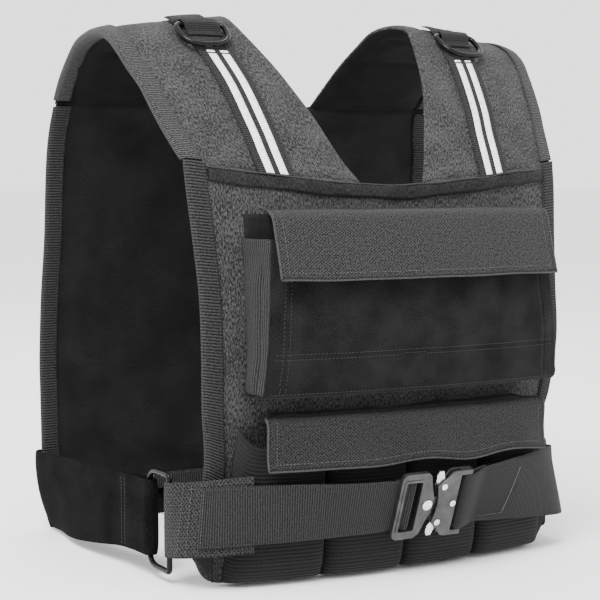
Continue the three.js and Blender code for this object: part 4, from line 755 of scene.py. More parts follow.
# true for the points nearer the rim than a width
def heldMask(rows, columns, width):
    r = np.minimum(np.arange(rows), np.arange(rows)[::-1])[:, None]
    c = np.minimum(np.arange(columns), np.arange(columns)[::-1])[None, :]
    near = np.minimum(np.broadcast_to(r, (rows, columns)), c) < width
    return np.concatenate([near.ravel(), near.ravel()])


frontSheet = {"rows": 62, "columns": 76, "sink": 1.6, "ripple": 1.3, "groove": 1.3, "pressure": 4.0, "cap": 4.0}
rows, columns = frontSheet["rows"], frontSheet["columns"]
u, v = np.meshgrid(np.linspace(0, 1, columns), np.linspace(0, 1, rows))
outer = frontPanelPoints(u, v, False)
inner = frontPanelPoints(u, v, True)
fade = smoothStep(np.minimum(u, 1 - u), 0.03, 0.12) * smoothStep(np.minimum(v, 1 - v), 0.02, 0.1)
wrinkle = ripple(outer[..., 0], outer[..., 2], frontSheet["ripple"], 70, 3)
besideTape = frontHalf(outer[..., 2]) - np.abs(outer[..., 0]) - cloth["tapeWide"]
wrinkle += frontSheet["groove"] * np.exp(-(((besideTape - 3) / 3.5) ** 2))
outer[..., 1] += frontSheet["sink"] * fade + wrinkle * fade
inner[..., 1] -= 1.2 * fade
outer, inner = roundedPair(outer, inner, rows, columns)
frontPad = wallPiece("frontPad", outer, inner, finishes["shell"], ["front_panel"], lining=finishes["lining"])
puffUp(frontPad, heldMask(rows, columns, 5), frontSheet["pressure"], frontSheet["cap"])
addSubdivision(frontPad)
print("front panel made")

backSheet = {"rows": 66, "columns": 70, "sink": 1.4, "ripple": 1.3, "pressure": 4.0, "cap": 5.0}
rows, columns = backSheet["rows"], backSheet["columns"]
u, v = np.meshgrid(np.linspace(0, 1, columns), np.linspace(0, 1, rows))
outer = backPanelPoints(u, v, True)
inner = backPanelPoints(u, v, False)
fade = smoothStep(np.minimum(u, 1 - u), 0.06, 0.16) * smoothStep(np.minimum(v, 1 - v), 0.02, 0.12)
inner[..., 1] += (backSheet["sink"] + ripple(inner[..., 0], inner[..., 2], backSheet["ripple"], 90, 5)) * fade
outer[..., 1] -= backSheet["sink"] * fade
outer, inner = roundedPair(outer, inner, rows, columns)
backPad = wallPiece("backPad", outer, inner, finishes["shell"], ["back_panel"], lining=finishes["lining"])
puffUp(backPad, heldMask(rows, columns, 5), backSheet["pressure"], backSheet["cap"])
addSubdivision(backPad)
print("back panel made")

webbingLine = [
    [0, 0.51], [0.11, 0.46], [0.21, 0.43], [0.3, 0.4], [0.4, 0.375], [0.5, 0.36], [0.65, 0.36],
]

padSheet = {"rows": 80, "columns": 44, "sink": 1.2, "ripple": 1.0, "groove": 1.8, "pressure": 4.0, "cap": 5.0}
rows, columns = padSheet["rows"], padSheet["columns"]
s, t = np.meshgrid(np.linspace(0, 1, columns), np.linspace(0, 1, rows))
shoulderPads = {}
for side, flip in (("Right", 1), ("Left", -1)):
    outer, inner, out = padOutside(s, t), padInside(s, t), padNormal(s, t)
    fade = smoothStep(np.minimum(s, 1 - s), 0.02, 0.15) * smoothStep(np.minimum(t, 1 - t), 0.01, 0.06)
    wrinkle = ripple(s * 110, t * 330, padSheet["ripple"], 60, 7 if flip > 0 else 8)
    wide = np.linalg.norm(smoothCurve(armPoints, t) - smoothCurve(neckPoints, t), axis=-1)
    beside = np.abs(s - tableColumn(webbingLine, 1, t)) * wide
    wrinkle -= padSheet["groove"] * np.exp(-(((beside - 20) / 3.5) ** 2)) * (1 - smoothStep(t, 0.55, 0.68))
    outer += out * ((wrinkle - padSheet["sink"]) * fade)[..., None]
    inner += out * (1.4 * fade)[..., None]
    outer, inner = roundedPair(outer, inner, rows, columns)
    if flip < 0:
        outer, inner = mirrorPoints(outer), mirrorPoints(inner)
    pad = wallPiece(
        "shoulderPad" + side, outer, inner, finishes["shell"], ["shoulder_pad_" + side.lower()],
        lining=finishes["padLining"],
    )
    puffUp(pad, heldMask(rows, columns, 3), padSheet["pressure"], padSheet["cap"])
    addSubdivision(pad)
    shoulderPads[side] = pad
print("shoulder pads made")


# A tape folded over an edge: ten points round the outside of the fold and ten back along its
# inside, with the fold rounded and a slight crown on each leg
def foldedTape(edgeOuter, insetOuter, edgeInner, insetInner, faceNormal, edgeOut, crown=0.5):
    near, thick = cloth["tapeGap"], cloth["tapeThick"]
    half = np.linalg.norm(edgeOuter - edgeInner, axis=-1, keepdims=True) / 2
    middle = (edgeOuter + edgeInner) / 2
    layers = []
    for lift in (near + thick, near):
        legs = []
        for w in (0.0, 0.25, 0.5, 0.75, 0.94):
            rise = lift + (crown * 4 * w * (1 - w) if lift > near else 0)
            legs.append(lerp(insetOuter, edgeOuter, w) + faceNormal * rise)
        for angle in np.linspace(0.32, 0.68, 5) * math.pi:
            round_ = faceNormal * (half + lift) * math.cos(angle) + edgeOut * (2.0 + lift) * math.sin(angle)
            legs.append(middle - edgeOut * 2.0 + round_)
        for w in (0.94, 0.75, 0.5, 0.25, 0.0):
            rise = lift + (crown * 4 * w * (1 - w) if lift > near else 0)
            legs.append(lerp(insetInner, edgeInner, w) - faceNormal * rise)
        layers.append(np.stack(legs, axis=1))
    return np.concatenate([layers[0], layers[1][:, ::-1]], axis=1)


# one direction, repeated for each station
def unit(x, y, z, count):
    return np.broadcast_to(np.array([x, y, z], float), (count, 3))


bindingMaker = {"stations": 150, "seamAt": 0.14, "padStart": 0.02, "padEnd": 0.985, "padInset": 0.905}
v = np.linspace(0, 1, bindingMaker["stations"])
inset = 1 - cloth["tapeWide"] / (2 * frontPanel["chestHalf"])
count = len(v)
frontTape = foldedTape(
    frontPanelPoints(1.0, v, False), frontPanelPoints(inset, v, False),
    frontPanelPoints(1.0, v, True), frontPanelPoints(inset, v, True),
    unit(0, -1, 0, count), unit(1, 0, 0, count),
)
seamPath = lerp(frontTape[:, 0], frontTape[:, 4], bindingMaker["seamAt"])
for side, flip in (("Right", 1), ("Left", -1)):
    tape = frontTape if flip > 0 else mirrorPoints(frontTape)
    piece = sweptPiece("frontTape" + side, tape, finishes["tape"], ["front_binding_" + side.lower()])
    cutSheet(piece, tape[:, :15])
stitchRow("frontTapeStitches", [(seamPath, (0, -1, 0)), (mirrorPoints(seamPath), (0, -1, 0))], "darkThread")

radius = backPanel["cornerRadius"]
bottomZ = cloth["seamZ"] - backPanel["tall"]
straightZ = np.linspace(cloth["seamZ"] - 2, bottomZ + radius, 110)
turn = np.linspace(0, math.pi / 2, 36)[1:]
runX = np.linspace(backPanel["half"] - radius, -(backPanel["half"] - radius), 130)[1:]
halfLine = [np.stack([np.full(110, backPanel["half"]), straightZ, np.ones(110), np.zeros(110)], axis=1)]
cornerX, cornerZ = backPanel["half"] - radius, bottomZ + radius
cosTurn, sinTurn = np.cos(turn), np.sin(turn)
halfLine.append(np.stack([cornerX + radius * cosTurn, cornerZ - radius * sinTurn, cosTurn, -sinTurn], axis=1))
base = np.stack([runX, np.full(len(runX), bottomZ), np.zeros(len(runX)), -np.ones(len(runX))], axis=1)
otherSide = np.concatenate(halfLine)[::-1].copy()
otherSide[:, [0, 2]] *= -1
line = np.concatenate([*halfLine, base, otherSide[1:]])
x, z, outX, outZ = line.T
edgeOut = pointGrid(outX, 0 * x, outZ)


# the edge on the inner face, or a bound thickness behind it
def backEdge(px, pz, outer):
    return pointGrid(flared(px, pz), backFaceY(px, pz) + (cloth["edgeThick"] if outer else 0), pz)


insetX, insetZ = x - outX * cloth["tapeWide"], z - outZ * cloth["tapeWide"]
backTape = foldedTape(
    backEdge(x, z, True), backEdge(insetX, insetZ, True), backEdge(x, z, False), backEdge(insetX, insetZ, False),
    unit(0, 1, 0, len(x)), edgeOut,
)
piece = sweptPiece("backTape", backTape, finishes["tape"], ["back_binding_right", "back_binding_left"])
cutSheet(piece, backTape[:, :15])
innerSeam = lerp(backTape[:, 14], backTape[:, 10], bindingMaker["seamAt"])
outerSeam = lerp(backTape[:, 0], backTape[:, 4], bindingMaker["seamAt"])
stitchRow("backTapeStitches", [(innerSeam, (0, -1, 0)), (outerSeam, (0, 1, 0))], "darkThread")

t = np.linspace(bindingMaker["padStart"], bindingMaker["padEnd"], bindingMaker["stations"])
edgeOuter, insetOuter = padOutside(1.0, t), padOutside(bindingMaker["padInset"], t)
edgeOut = edgeOuter - insetOuter
edgeOut /= np.linalg.norm(edgeOut, axis=-1, keepdims=True)
padSeamOut = padNormal(1.0, t)
edgeInner, insetInner = padInside(1.0, t), padInside(bindingMaker["padInset"], t)
padTape = foldedTape(edgeOuter, insetOuter, edgeInner, insetInner, padSeamOut, edgeOut)
padSeam = lerp(padTape[:, 0], padTape[:, 4], bindingMaker["seamAt"])
for side, flip in (("Right", 1), ("Left", -1)):
    tape = padTape if flip > 0 else mirrorPoints(padTape)
    piece = sweptPiece("padTape" + side, tape, finishes["padTape"], ["pad_binding_" + side.lower()])
    cutSheet(piece, tape[:, :15])
stitchRow("padTapeStitches", [(padSeam, padSeamOut), (mirrorPoints(padSeam), mirrorPoints(padSeamOut))], "darkThread")
print("bindings made")


# points on the pad beside the webbing's centre line: offset in mm across, lift in mm off the pad
def onPad(t, offset, lift):
    s = tableColumn(webbingLine, 1, t)
    wide = np.linalg.norm(smoothCurve(armPoints, t) - smoothCurve(neckPoints, t), axis=-1)
    place = s + offset / wide
    return padOutside(place, t) + padNormal(place, t) * np.asarray(lift)[..., None]


# a strip on the pad with softly rounded edges
def padStrip(name, start, end, offset, wide, lift, thick, finish, slot, replaced, stations, columns=9):
    t = np.linspace(start, end, stations)[:, None]
    across = np.linspace(-1, 1, columns)[None, :]
    t, across = np.broadcast_arrays(t, across)
    edge = 1 - 0.35 * np.abs(across) ** 8
    shift = offset + across * wide / 2
    low = onPad(t, shift, np.broadcast_to(lift, t.shape))
    top = onPad(t, shift, np.broadcast_to(lift, t.shape) + thick * edge)
    for side, flip in (("Right", 1), ("Left", -1)):
        a, b = (top, low) if flip > 0 else (mirrorPoints(top), mirrorPoints(low))
        piece = wallPiece(name + side, a, b, finish, [replaced + "_" + side.lower()] if replaced else ())
        if wide > 10:
            cutSheet(piece, a)


shoulderWeb = {"wide": 34, "end": 0.6, "lift": 0.5}
shoulderStripe = {
    "wide": 7.2, "apart": 12.6, "start": 0.004, "end": 0.4, "thick": 0.4,
    "mainShort": 0.017, "dashStart": 0.011, "dashShort": 0.003,  # shares of the way, back from the end
}
padStrip(
    "shoulderWeb", 0.0, shoulderWeb["end"], 0, shoulderWeb["wide"], shoulderWeb["lift"], cloth["webThick"],
    finishes["webbing"], "webbing", "shoulder_webbing", 120, 11,
)
stripeLift = shoulderWeb["lift"] + cloth["webThick"] + 0.1
stripeEnd = shoulderStripe["end"]
for name, sign, node in (("stripeInner", -1, "stripe_inner"), ("stripeOuter", 1, "stripe_outer")):
    shift = sign * shoulderStripe["apart"] / 2
    mainRun = (shoulderStripe["start"], stripeEnd - shoulderStripe["mainShort"])
    dashRun = (stripeEnd - shoulderStripe["dashStart"], stripeEnd - shoulderStripe["dashShort"])
    for part, run, stands, stations in ((name, mainRun, node, 90), (name + "End", dashRun, "", 6)):
        padStrip(
            part, *run, shift, shoulderStripe["wide"], stripeLift, shoulderStripe["thick"],
            finishes["reflective"], "reflective", stands, stations, 5,
        )
t = np.linspace(0.0, shoulderWeb["end"] - 0.01, 160)
rowsOfThread = []
for shift in (-15, 15, -10.8, 10.8):
    path, out = onPad(t, np.full_like(t, shift), np.full_like(t, 2.1)), padNormal(0.4, t)
    rowsOfThread += [(path, out), (mirrorPoints(path), mirrorPoints(out))]
stitchRow("shoulderWebStitches", rowsOfThread, "darkThread", pitch=3.0)

keeper = {"wide": 33, "reach": 15, "barLift": 3.4, "wire": 5, "place": 0.5}
fineShares = np.linspace(0, 1, 300)
padLength = 0.5 * sum(
    np.linalg.norm(np.diff(smoothCurve(p, fineShares), axis=0), axis=1).sum() for p in (neckPoints, armPoints)
)
place = np.linspace(-1, 1, 49)
away = smoothStep(np.abs(place), 0.16, 0.75)
keeperLift = 2.0 + lerp(keeper["barLift"] + keeper["wire"] / 2 + 0.4, 0.5, away)
keeperT = keeper["place"] + place * keeper["reach"] / padLength
tt, across = np.meshgrid(keeperT, np.linspace(-1, 1, 11), indexing="ij")
liftGrid = np.broadcast_to(keeperLift[:, None], tt.shape)
low = onPad(tt, across * keeper["wide"] / 2, liftGrid)
top = onPad(tt, across * keeper["wide"] / 2, liftGrid + 1.6 * (1 - 0.3 * np.abs(across) ** 8))
for side, flip in (("Right", 1), ("Left", -1)):
    a, b = (top, low) if flip > 0 else (mirrorPoints(top), mirrorPoints(low))
    piece = wallPiece("keeper" + side, a, b, finishes["plainWeb"], ["ring_keeper_" + side.lower()])
    cutSheet(piece, a)
frontLift = 2.0 + 0.5 + 1.6
patch = []
for row in np.linspace(-0.92, -0.62, 4):
    shift = np.linspace(-13, 13, 20)
    tRow = np.full_like(shift, keeper["place"] + row * keeper["reach"] / padLength)
    patch.append((onPad(tRow, shift, np.full_like(shift, frontLift + 0.1)), padNormal(0.37, tRow)))
for row in (0.9, 0.72):
    shift = np.linspace(-13, 13, 20)
    tRow = np.full_like(shift, keeper["place"] + row * keeper["reach"] / padLength)
    patch.append((onPad(tRow, shift, np.full_like(shift, frontLift + 0.1)), padNormal(0.37, tRow)))
patch += [(mirrorPoints(p), mirrorPoints(n)) for p, n in patch]
stitchRow("keeperStitches", patch, "darkThread", pitch=2.4)


# a round wire round a closed loop in a plane: circle carried along, its plane's normal known
def wireRing(name, points, planeNormal, diameter, finish, replaced, body, sides=18):
    ahead = np.roll(points, -1, axis=0) - np.roll(points, 1, axis=0)
    ahead /= np.linalg.norm(ahead, axis=1, keepdims=True)
    side = np.cross(ahead, planeNormal)
    angle = np.linspace(0, 2 * math.pi, sides, endpoint=False)
    sections = (
        points[:, None]
        + side[:, None] * (np.cos(angle) * diameter / 2)[None, :, None]
        + np.asarray(planeNormal)[None, None] * (np.sin(angle) * diameter / 2)[None, :, None]
    )
    return sweptPiece(name, sections, finish, replaced, body, closed=True)


# outline of a D in two numbers, along the bar and away from it: a bar, corners and a squarish bow
def dOutline(wide, deep, wire, roundness, bend, count=220):
    half, reach = (wide - wire) / 2, deep - wire
    legEnd = 0.3 * reach
    corner = np.linspace(0, math.pi / 2, 12)
    right = np.stack([half - bend + bend * np.sin(corner), bend - bend * np.cos(corner)], axis=1)
    angle = np.linspace(0, math.pi, 120)
    power = 2 / roundness
    bow = np.stack([
        half * np.sign(np.cos(angle)) * np.abs(np.cos(angle)) ** power,
        legEnd + (reach - legEnd) * np.abs(np.sin(angle)) ** power,
    ], axis=1)
    left = right[::-1] * [-1, 1]
    path = np.concatenate([right, bow, left, right[:1]])
    steps = np.concatenate([[0], np.linalg.norm(np.diff(path, axis=0), axis=1).cumsum()])
    at = np.linspace(0, steps[-1], count, endpoint=False)
    return np.stack([np.interp(at, steps, path[:, i]) for i in range(2)], axis=1)


shoulderRing = {"wide": 50, "deep": 36, "wire": 5, "tipLift": 6, "bowPlace": 0.37, "roundness": 2.6, "bend": 6}
barS = float(tableColumn(webbingLine, 1, keeper["place"]))
barMiddle = padOutside(barS, keeper["place"]) + padNormal(barS, keeper["place"]) * (2.0 + keeper["barLift"])
barAlong = padOutside(barS + 0.05, keeper["place"]) - padOutside(barS - 0.05, keeper["place"])
barAlong /= np.linalg.norm(barAlong)
bowS = float(tableColumn(webbingLine, 1, shoulderRing["bowPlace"]))
bowNormal = padNormal(bowS, shoulderRing["bowPlace"])
bowOut = padOutside(bowS, shoulderRing["bowPlace"]) + bowNormal * (2.0 + shoulderRing["tipLift"]) - barMiddle
bowOut -= barAlong * bowOut.dot(barAlong)
bowOut /= np.linalg.norm(bowOut)
flat = dOutline(*(shoulderRing[key] for key in ("wide", "deep", "wire", "roundness", "bend")))
loop = barMiddle + flat[:, :1] * barAlong + flat[:, 1:] * bowOut
planeNormal = np.cross(barAlong, bowOut)
for side, points, normal in (("Right", loop, planeNormal), ("Left", mirrorPoints(loop), mirrorPoints(planeNormal))):
    node = "d_ring_" + side.lower()
    wireRing("dRing" + side, points, normal, shoulderRing["wire"], finishes["blackMetal"], [node], node)

sideRing = {"x": 200, "barY": -101, "tall": 88, "deep": 46, "wire": 5, "roundness": 5, "bend": 3}
flat = dOutline(*(sideRing[key] for key in ("tall", "deep", "wire", "roundness", "bend")))
loop = pointGrid(sideRing["x"], sideRing["barY"] + flat[:, 1], cloth["backBeltZ"] + flat[:, 0])
level = np.array([1.0, 0, 0])
for side, points, normal in (("Right", loop, level), ("Left", mirrorPoints(loop), -level)):
    node = "side_ring_" + side.lower()
    wireRing("sideRing" + side, points, normal, sideRing["wire"], finishes["blackMetal"], [node], "vest")
print("webbing and rings made")

# the chest hem: a rolled band whose darker cloth is painted shade under its fold
chestHem = {"tall": 12, "half": 174, "thick": 2.4, "line": 0.6}
x, w = np.meshgrid(np.linspace(-chestHem["half"], chestHem["half"], 160), np.linspace(0, 1, 9))
roll = np.sqrt(np.clip(1 - (2 * w - 1) ** 4, 0.1, 1))
z = hemLineZ(x) - 0.4 - w * (chestHem["tall"] + ripple(x, 0 * x, 0.9, 70, 22))
hemTop = offFront(x, 0.4 + chestHem["thick"] * roll + ripple(x, w * 11, 0.4, 50, 21), z)
hemLow = offFront(x, 0.2 + 0 * x, z)
hemPiece = wallPiece("chestHem", hemTop, hemLow, finishes["hem"], ["chest_hem"])
cutSheet(hemPiece, hemTop)


# a thin round cord along a path
def cordPiece(name, path, radius, finish, sides=8):
    ahead = np.gradient(path, axis=0)
    ahead /= np.linalg.norm(ahead, axis=1, keepdims=True)
    across = np.cross(ahead, np.array([0.3, 0.2, 1.0]))
    across /= np.linalg.norm(across, axis=1, keepdims=True)
    over = np.cross(ahead, across)
    angle = np.linspace(0, 2 * math.pi, sides, endpoint=False)
    around = across[:, None] * np.cos(angle)[None, :, None] + over[:, None] * np.sin(angle)[None, :, None]
    return sweptPiece(name, path[:, None] + around * radius, finish)


# a light cord along the top of the chest hem: a painted highlight where the edge of the fold catches the light
xs = np.linspace(-chestHem["half"], chestHem["half"], 320)
lineZ = hemLineZ(xs) - 0.2 + ripple(xs, 0 * xs, 0.7, 60, 23)
hemLine = offFront(xs, 2.2 + ripple(xs, 0 * xs, 0.5, 40, 24), lineZ)
cordPiece("chestHemHighlight", hemLine, chestHem["line"], finishes["highlightAndPiping"])

# the dark line of the seam along the inner edge of each tape
edgeLine = {"radius": 0.6, "lift": 0.2}
for name, tape, out in (("frontTapeLine", frontTape, np.array([0, -1.0, 0])), ("padTapeLine", padTape, padSeamOut)):
    path = tape[:, 0] + out * edgeLine["lift"] - out * cloth["tapeThick"]
    cordPiece(name + "Right", path, edgeLine["radius"], finishes["blackThread"])
    cordPiece(name + "Left", mirrorPoints(path), edgeLine["radius"], finishes["blackThread"])


# a path through corner points with each inner corner rounded, resampled at even steps; points
# are depth off the panel and drop below the hem
def roundedPath(corners, radius, step=3.5):
    corners = np.asarray(corners, float)
    parts = [corners[:1]]
    for before, here, after in zip(corners[:-2], corners[1:-1], corners[2:]):
        a = here + (before - here) * min(radius / np.linalg.norm(before - here), 0.5)
        b = here + (after - here) * min(radius / np.linalg.norm(after - here), 0.5)
        w = np.linspace(0, 1, 8)[:, None]
        parts.append((1 - w) ** 2 * a + 2 * w * (1 - w) * here + w**2 * b)
    parts.append(corners[-1:])
    path = np.concatenate(parts)
    steps = np.concatenate([[0], np.linalg.norm(np.diff(path, axis=0), axis=1).cumsum()])
    at = np.linspace(0, steps[-1], max(int(steps[-1] / step), 4))
    return np.stack([np.interp(at, steps, path[:, i]) for i in range(2)], axis=1), at


# a sheet in front of the panel: the path gives depth and drop, half its half width, and wave how
# far it stands off as a function of across (-1 to 1) and length down the path
def frontWall(name, path, at, half, thick, finish, replaced, wave=None, across=90, edge=None, lining=None):
    turn = np.gradient(path, axis=0)
    turn /= np.linalg.norm(turn, axis=1, keepdims=True)
    normal = np.stack([turn[:, 1], -turn[:, 0]], axis=1)
    side = np.linspace(-1, 1, across)[None, :]
    down = at[:, None]
    grids = []
    push = wave(side, down) if wave else 0 * side * down
    for sign in (1, -1):
        depth = path[:, :1] + normal[:, :1] * (sign * thick / 2 + push)
        drop = path[:, 1:] + normal[:, 1:] * (sign * thick / 2 + push)
        x = side * half(path[:, :1], path[:, 1:])
        if edge is not None:
            drop = drop + edge(side, down)
        grids.append(offFront(x, depth, cloth["hemZ"] - drop))
    piece = wallPiece(name, grids[0], grids[1], finish, replaced, lining=lining)
    return cutSheet(piece, grids[0]), grids[0]


upperPouch = {
    "top": 62, "tall": 132, "topHalf": 141, "bottomHalf": 151, "rootHalf": 149, "thick": 2.6, "face": 36.5,
    "sideDeep": 34.6,
}


# half width of the pouch, in a straight line from top to foot
def upperHalf(depth, drop):
    share = np.clip((drop - upperPouch["top"]) / upperPouch["tall"], 0, 1)
    return lerp(upperPouch["topHalf"], upperPouch["bottomHalf"], share)


bottom = upperPouch["top"] + upperPouch["tall"]
face, foot = upperPouch["face"], bottom - 1.5
path, at = roundedPath([(face, upperPouch["top"]), (face, foot), (0.6, foot)], 7)


# the pouch front: slack between its side seams, pulled in along the seam above its foot
def pouchWave(side, down):
    free = smoothStep(1 - np.abs(side), 0, 0.12)
    slack = ripple(side * 145, down, 1.1, 80, 31) * free
    belly = 2.0 * free * np.sin(np.pi * np.clip(down / 120, 0, 1))
    seam = -1.3 * np.exp(-(((down - 97) / 2.2) ** 2))
    sideSeam = -1.0 * np.exp(-(((np.abs(side) - 0.9) / 0.012) ** 2))
    below = smoothStep(down, 118, 126)
    return (slack + belly + seam + sideSeam - 1.4) * (1 - below)


pouchFront = frontWall(
    "pouchFront", path, at, upperHalf, upperPouch["thick"], finishes["loop"], ["upper_pouch_front"], pouchWave,
    across=130,
)[0]
seams = []
xs = np.linspace(-0.97, 0.97, 180)
for drop in (157, 160.5, 191):
    seams.append((offFront(xs * upperHalf(0, drop), 39.5, cloth["hemZ"] - drop), (0, -1, 0)))
for side in (-0.915, 0.885, 0.915, -0.885):
    drops = np.linspace(64, 190, 60)
    seams.append((offFront(side * upperHalf(0, drops), 39.5, cloth["hemZ"] - drops), (0, -1, 0)))
stitchRow("pouchStitches", seams, "blackThread", pitch=3.4, radius=0.36, carrier=pouchFront)


# lining behind the pouch, flat on the panel
xs, drops = np.meshgrid(np.linspace(-146, 146, 60), np.linspace(42, 186, 40))
backFace, backUnder = (offFront(xs, depth, cloth["hemZ"] - drops) for depth in (1.6, 0.3))
pouchBack = wallPiece("pouchBack", backFace, backUnder, finishes["lining"])
cutSheet(pouchBack, backFace)


# side wall of the pouch: ribbed tape from the panel to the front, sagging into soft folds
def sideWall(outer):
    w, v = np.meshgrid(np.linspace(0, 1, 26), np.linspace(0, 1, 60))
    drop = lerp(upperPouch["top"], bottom - 3.4, v)
    bulge = 3.5 * np.sin(np.pi * w) * smoothStep(v, 0.05, 0.45) + ripple(w * 40, v * 130, 0.8, 38, 41) * np.sin(np.pi * w)
    fold = 2.6 * np.exp(-(((w - 0.72) / 0.07) ** 2)) * smoothStep(v, 0.12, 0.25)
    x = lerp(upperPouch["rootHalf"], upperHalf(0, drop), w) + bulge - fold - (0 if outer else 1.8) - 0.3
    hem = np.where(v < 0.1, 0.7, 0) * (1 if outer else 0)
    return offFront(x + hem, lerp(0.6, upperPouch["sideDeep"], w), cloth["hemZ"] - drop)


for side, flip in (("Right", 1), ("Left", -1)):
    outer, inner = sideWall(True), sideWall(False)
    if flip < 0:
        outer, inner = mirrorPoints(outer), mirrorPoints(inner)
    piece = wallPiece("pouchSide" + side, outer, inner, finishes["grosgrain"], ["upper_pouch_side_" + side.lower()])
    cutSheet(piece, outer)
w = np.linspace(0.05, 0.95, 30)
sideSeams = []
for v in (0.085, 0.1):
    drop = lerp(upperPouch["top"], bottom - 3.4, v)
    halfWidth = lerp(upperPouch["rootHalf"], upperHalf(0, drop), w) - 0.8
    seam = offFront(halfWidth, lerp(0.6, upperPouch["sideDeep"], w), cloth["hemZ"] - drop)
    sideSeams += [(seam, (1, 0, 0)), (mirrorPoints(seam), (-1, 0, 0))]
stitchRow("pouchSideStitches", sideSeams, "thread", pitch=2.8, radius=0.3)


# a flap: roof, rounded fold and a drop that stands off below, with slow waves in it
def makeFlap(name, node, finish, shape):
    top, tall, deep, flare, half, rootHalf, seed, waveSize, edgeSize = shape.values()
    outer = deep + 3
    path, at = roundedPath([(0.6, top + 1.5), (outer - 1.5, top + 1.5), (outer + flare - 1.5, top + tall)], 9, 2.6)

    # slow waves that grow with the hang, and a roof that sags as a half sine
    def wave(side, down):
        hang = smoothStep(down, deep, deep + tall)
        sag = -1.6 * np.sin(np.pi * np.clip(down / deep, 0, 1)) * (1 - hang)
        return ripple(side * half, down, waveSize, 85, seed) * (0.25 + hang) + sag

    # the free edge waves up and down
    def edge(side, down):
        return ripple(side * half, 0 * down, edgeSize, 120, seed + 1) * smoothStep(down, deep, deep + tall)

    # half width, from the root to the fold
    def spread(depth, drop):
        return lerp(rootHalf, half, smoothStep(depth, 0, deep))

    grid = frontWall(name, path, at, spread, 2.6, finishes[finish], [node], wave, 150, edge, finishes["lining"])[1]
    cordPiece(name + "Hem", grid[-1] + [0, -0.2, -0.4], 0.8, finishes["highlightAndPiping"])
    for number, column in ((1, 0), (2, -1)):
        cordPiece(f"{name}Piping{number}", grid[:, column], 0.9, finishes["highlightAndPiping"])
    rows = [(line, (0, -1, 0)) for line in (grid[3:-2, 4], grid[3:-2, -5], grid[-3, 3:-3])]
    rows.append((grid[4, 3:-3], (0, 0, 1)))
    stitchRow(name + "Stitches", rows, "thread", pitch=3.0, radius=0.36)


upperFlap = {
    "top": 38, "tall": 57, "deep": 38.4, "flare": 9, "half": 141, "rootHalf": 126, "seed": 51, "wave": 0.9, "edge": 0.6,
}
lowerFlap = {
    "top": 210, "tall": 45, "deep": 31, "flare": 10, "half": 143, "rootHalf": 128, "seed": 61, "wave": 1.6, "edge": 2.4,
}
makeFlap("upperFlap", "upper_flap", "flap", upperFlap)
# the lower flap's cloth is painted darker, as shade under the upper pouch
makeFlap("lowerFlap", "lower_flap", "shadedLowFlap", lowerFlap)
print("upper pouch and flaps made")

lowerPocket = {
    "count": 4, "pitch": 79, "top": 222, "tall": 132, "topDeep": 28, "bottomDeep": 23, "endTop": 152,
    "endBottom": 164, "roundness": 5, "wall": 2.0, "mouthSlope": 16,
}


# a soft box: superellipse across, closing downwards as a superellipse too, with a filled belly
def pocketGrid(index, inner):
    wall = lowerPocket["wall"] if inner else 0
    u, v = np.meshgrid(np.linspace(0, 1, 48), 1 - (1 - np.linspace(0, 1, 46)) ** 1.5)
    drop = lowerPocket["top"] + v * (lowerPocket["tall"] - wall)
    endHalf = lerp(lowerPocket["endTop"], lowerPocket["endBottom"], v)
    seams = [-endHalf, *((i - 2) * lowerPocket["pitch"] + 0 * v for i in (1, 2, 3)), endHalf]
    left, right = seams[index] + 0.5 + wall, seams[index + 1] - 0.5 - wall
    power = 2 / lowerPocket["roundness"]
    angle = math.pi * (1 - u)
    side = np.sign(np.cos(angle)) * np.abs(np.cos(angle)) ** power
    out = np.abs(np.sin(angle)) ** power
    foot = np.clip(1 - v**10, 0, 1) ** 0.2
    deep = lerp(lowerPocket["topDeep"], lowerPocket["bottomDeep"], v) - wall
    belly = (ripple(u * 79, v * 132, 0.8, 55, 70 + index) + 0.6) * out * np.sin(np.pi * np.clip(v, 0, 1))
    drop = drop + (1 - v) ** 2 * lowerPocket["mouthSlope"] * out
    x = (left + right) / 2 + side * (right - left) / 2
    depth = 0.6 + (deep - 0.6 + (0 if inner else belly)) * out * foot
    return offFront(x, depth, cloth["hemZ"] - drop)


pocketRows = []
for index in range(lowerPocket["count"]):
    outer, inner = pocketGrid(index, False), pocketGrid(index, True)
    pocket = wallPiece(f"lowerPocket{index + 1}", outer, inner, finishes["pocket"], [f"lower_pocket_{index + 1}"])
    cutSheet(pocket, outer)
    for row in (-9, -13):
        pocketRows.append((outer[row, 8:-8] + [0, -0.1, 0], (0, -1, -0.2)))
stitchRow("pocketStitches", pocketRows, "blackThread", pitch=3.4, radius=0.36)
print("pockets made")

belt = {
    "reach": 182, "ringX": 200, "ringBarY": 101, "sag": 10, "lean": 20, "wideTall": 64, "narrowTall": 50,
    "wideEndX": 150, "narrowStartX": 187, "wire": 5,
    # along, across, reach, lean, sag, width
    "rows": [
        [0, 1, 0, 0, 1, 1], [0.1, 0.995, 0.136, -0.15, 0.9, 1], [0.2, 0.972, 0.29, -0.55, 0.7, 1],
        [0.32, 0.885, 0.55, -0.45, 0.35, 1], [0.42, 0.76, 0.72, 0, 0.1, 0.9], [0.55, 0.58, 0.865, 0.4, 0, 0.5],
        [0.7, 0.38, 0.96, 0.85, 0, 0.1], [0.8, 0.25, 1, 1, 0, 0], [0.9, 0.125, 1, 1, 0, 0], [1, 0, 1, 1, 0, 0],
    ],
}


# across, reach and sag by the columns of the belt
def beltPlace(share):
    return pointGrid(
        tableColumn(belt["rows"], 1, share) * belt["ringX"],
        -lerp(belt["ringBarY"], belt["reach"], tableColumn(belt["rows"], 2, share)),
        cloth["beltZ"] - belt["sag"] * tableColumn(belt["rows"], 4, share),
    )


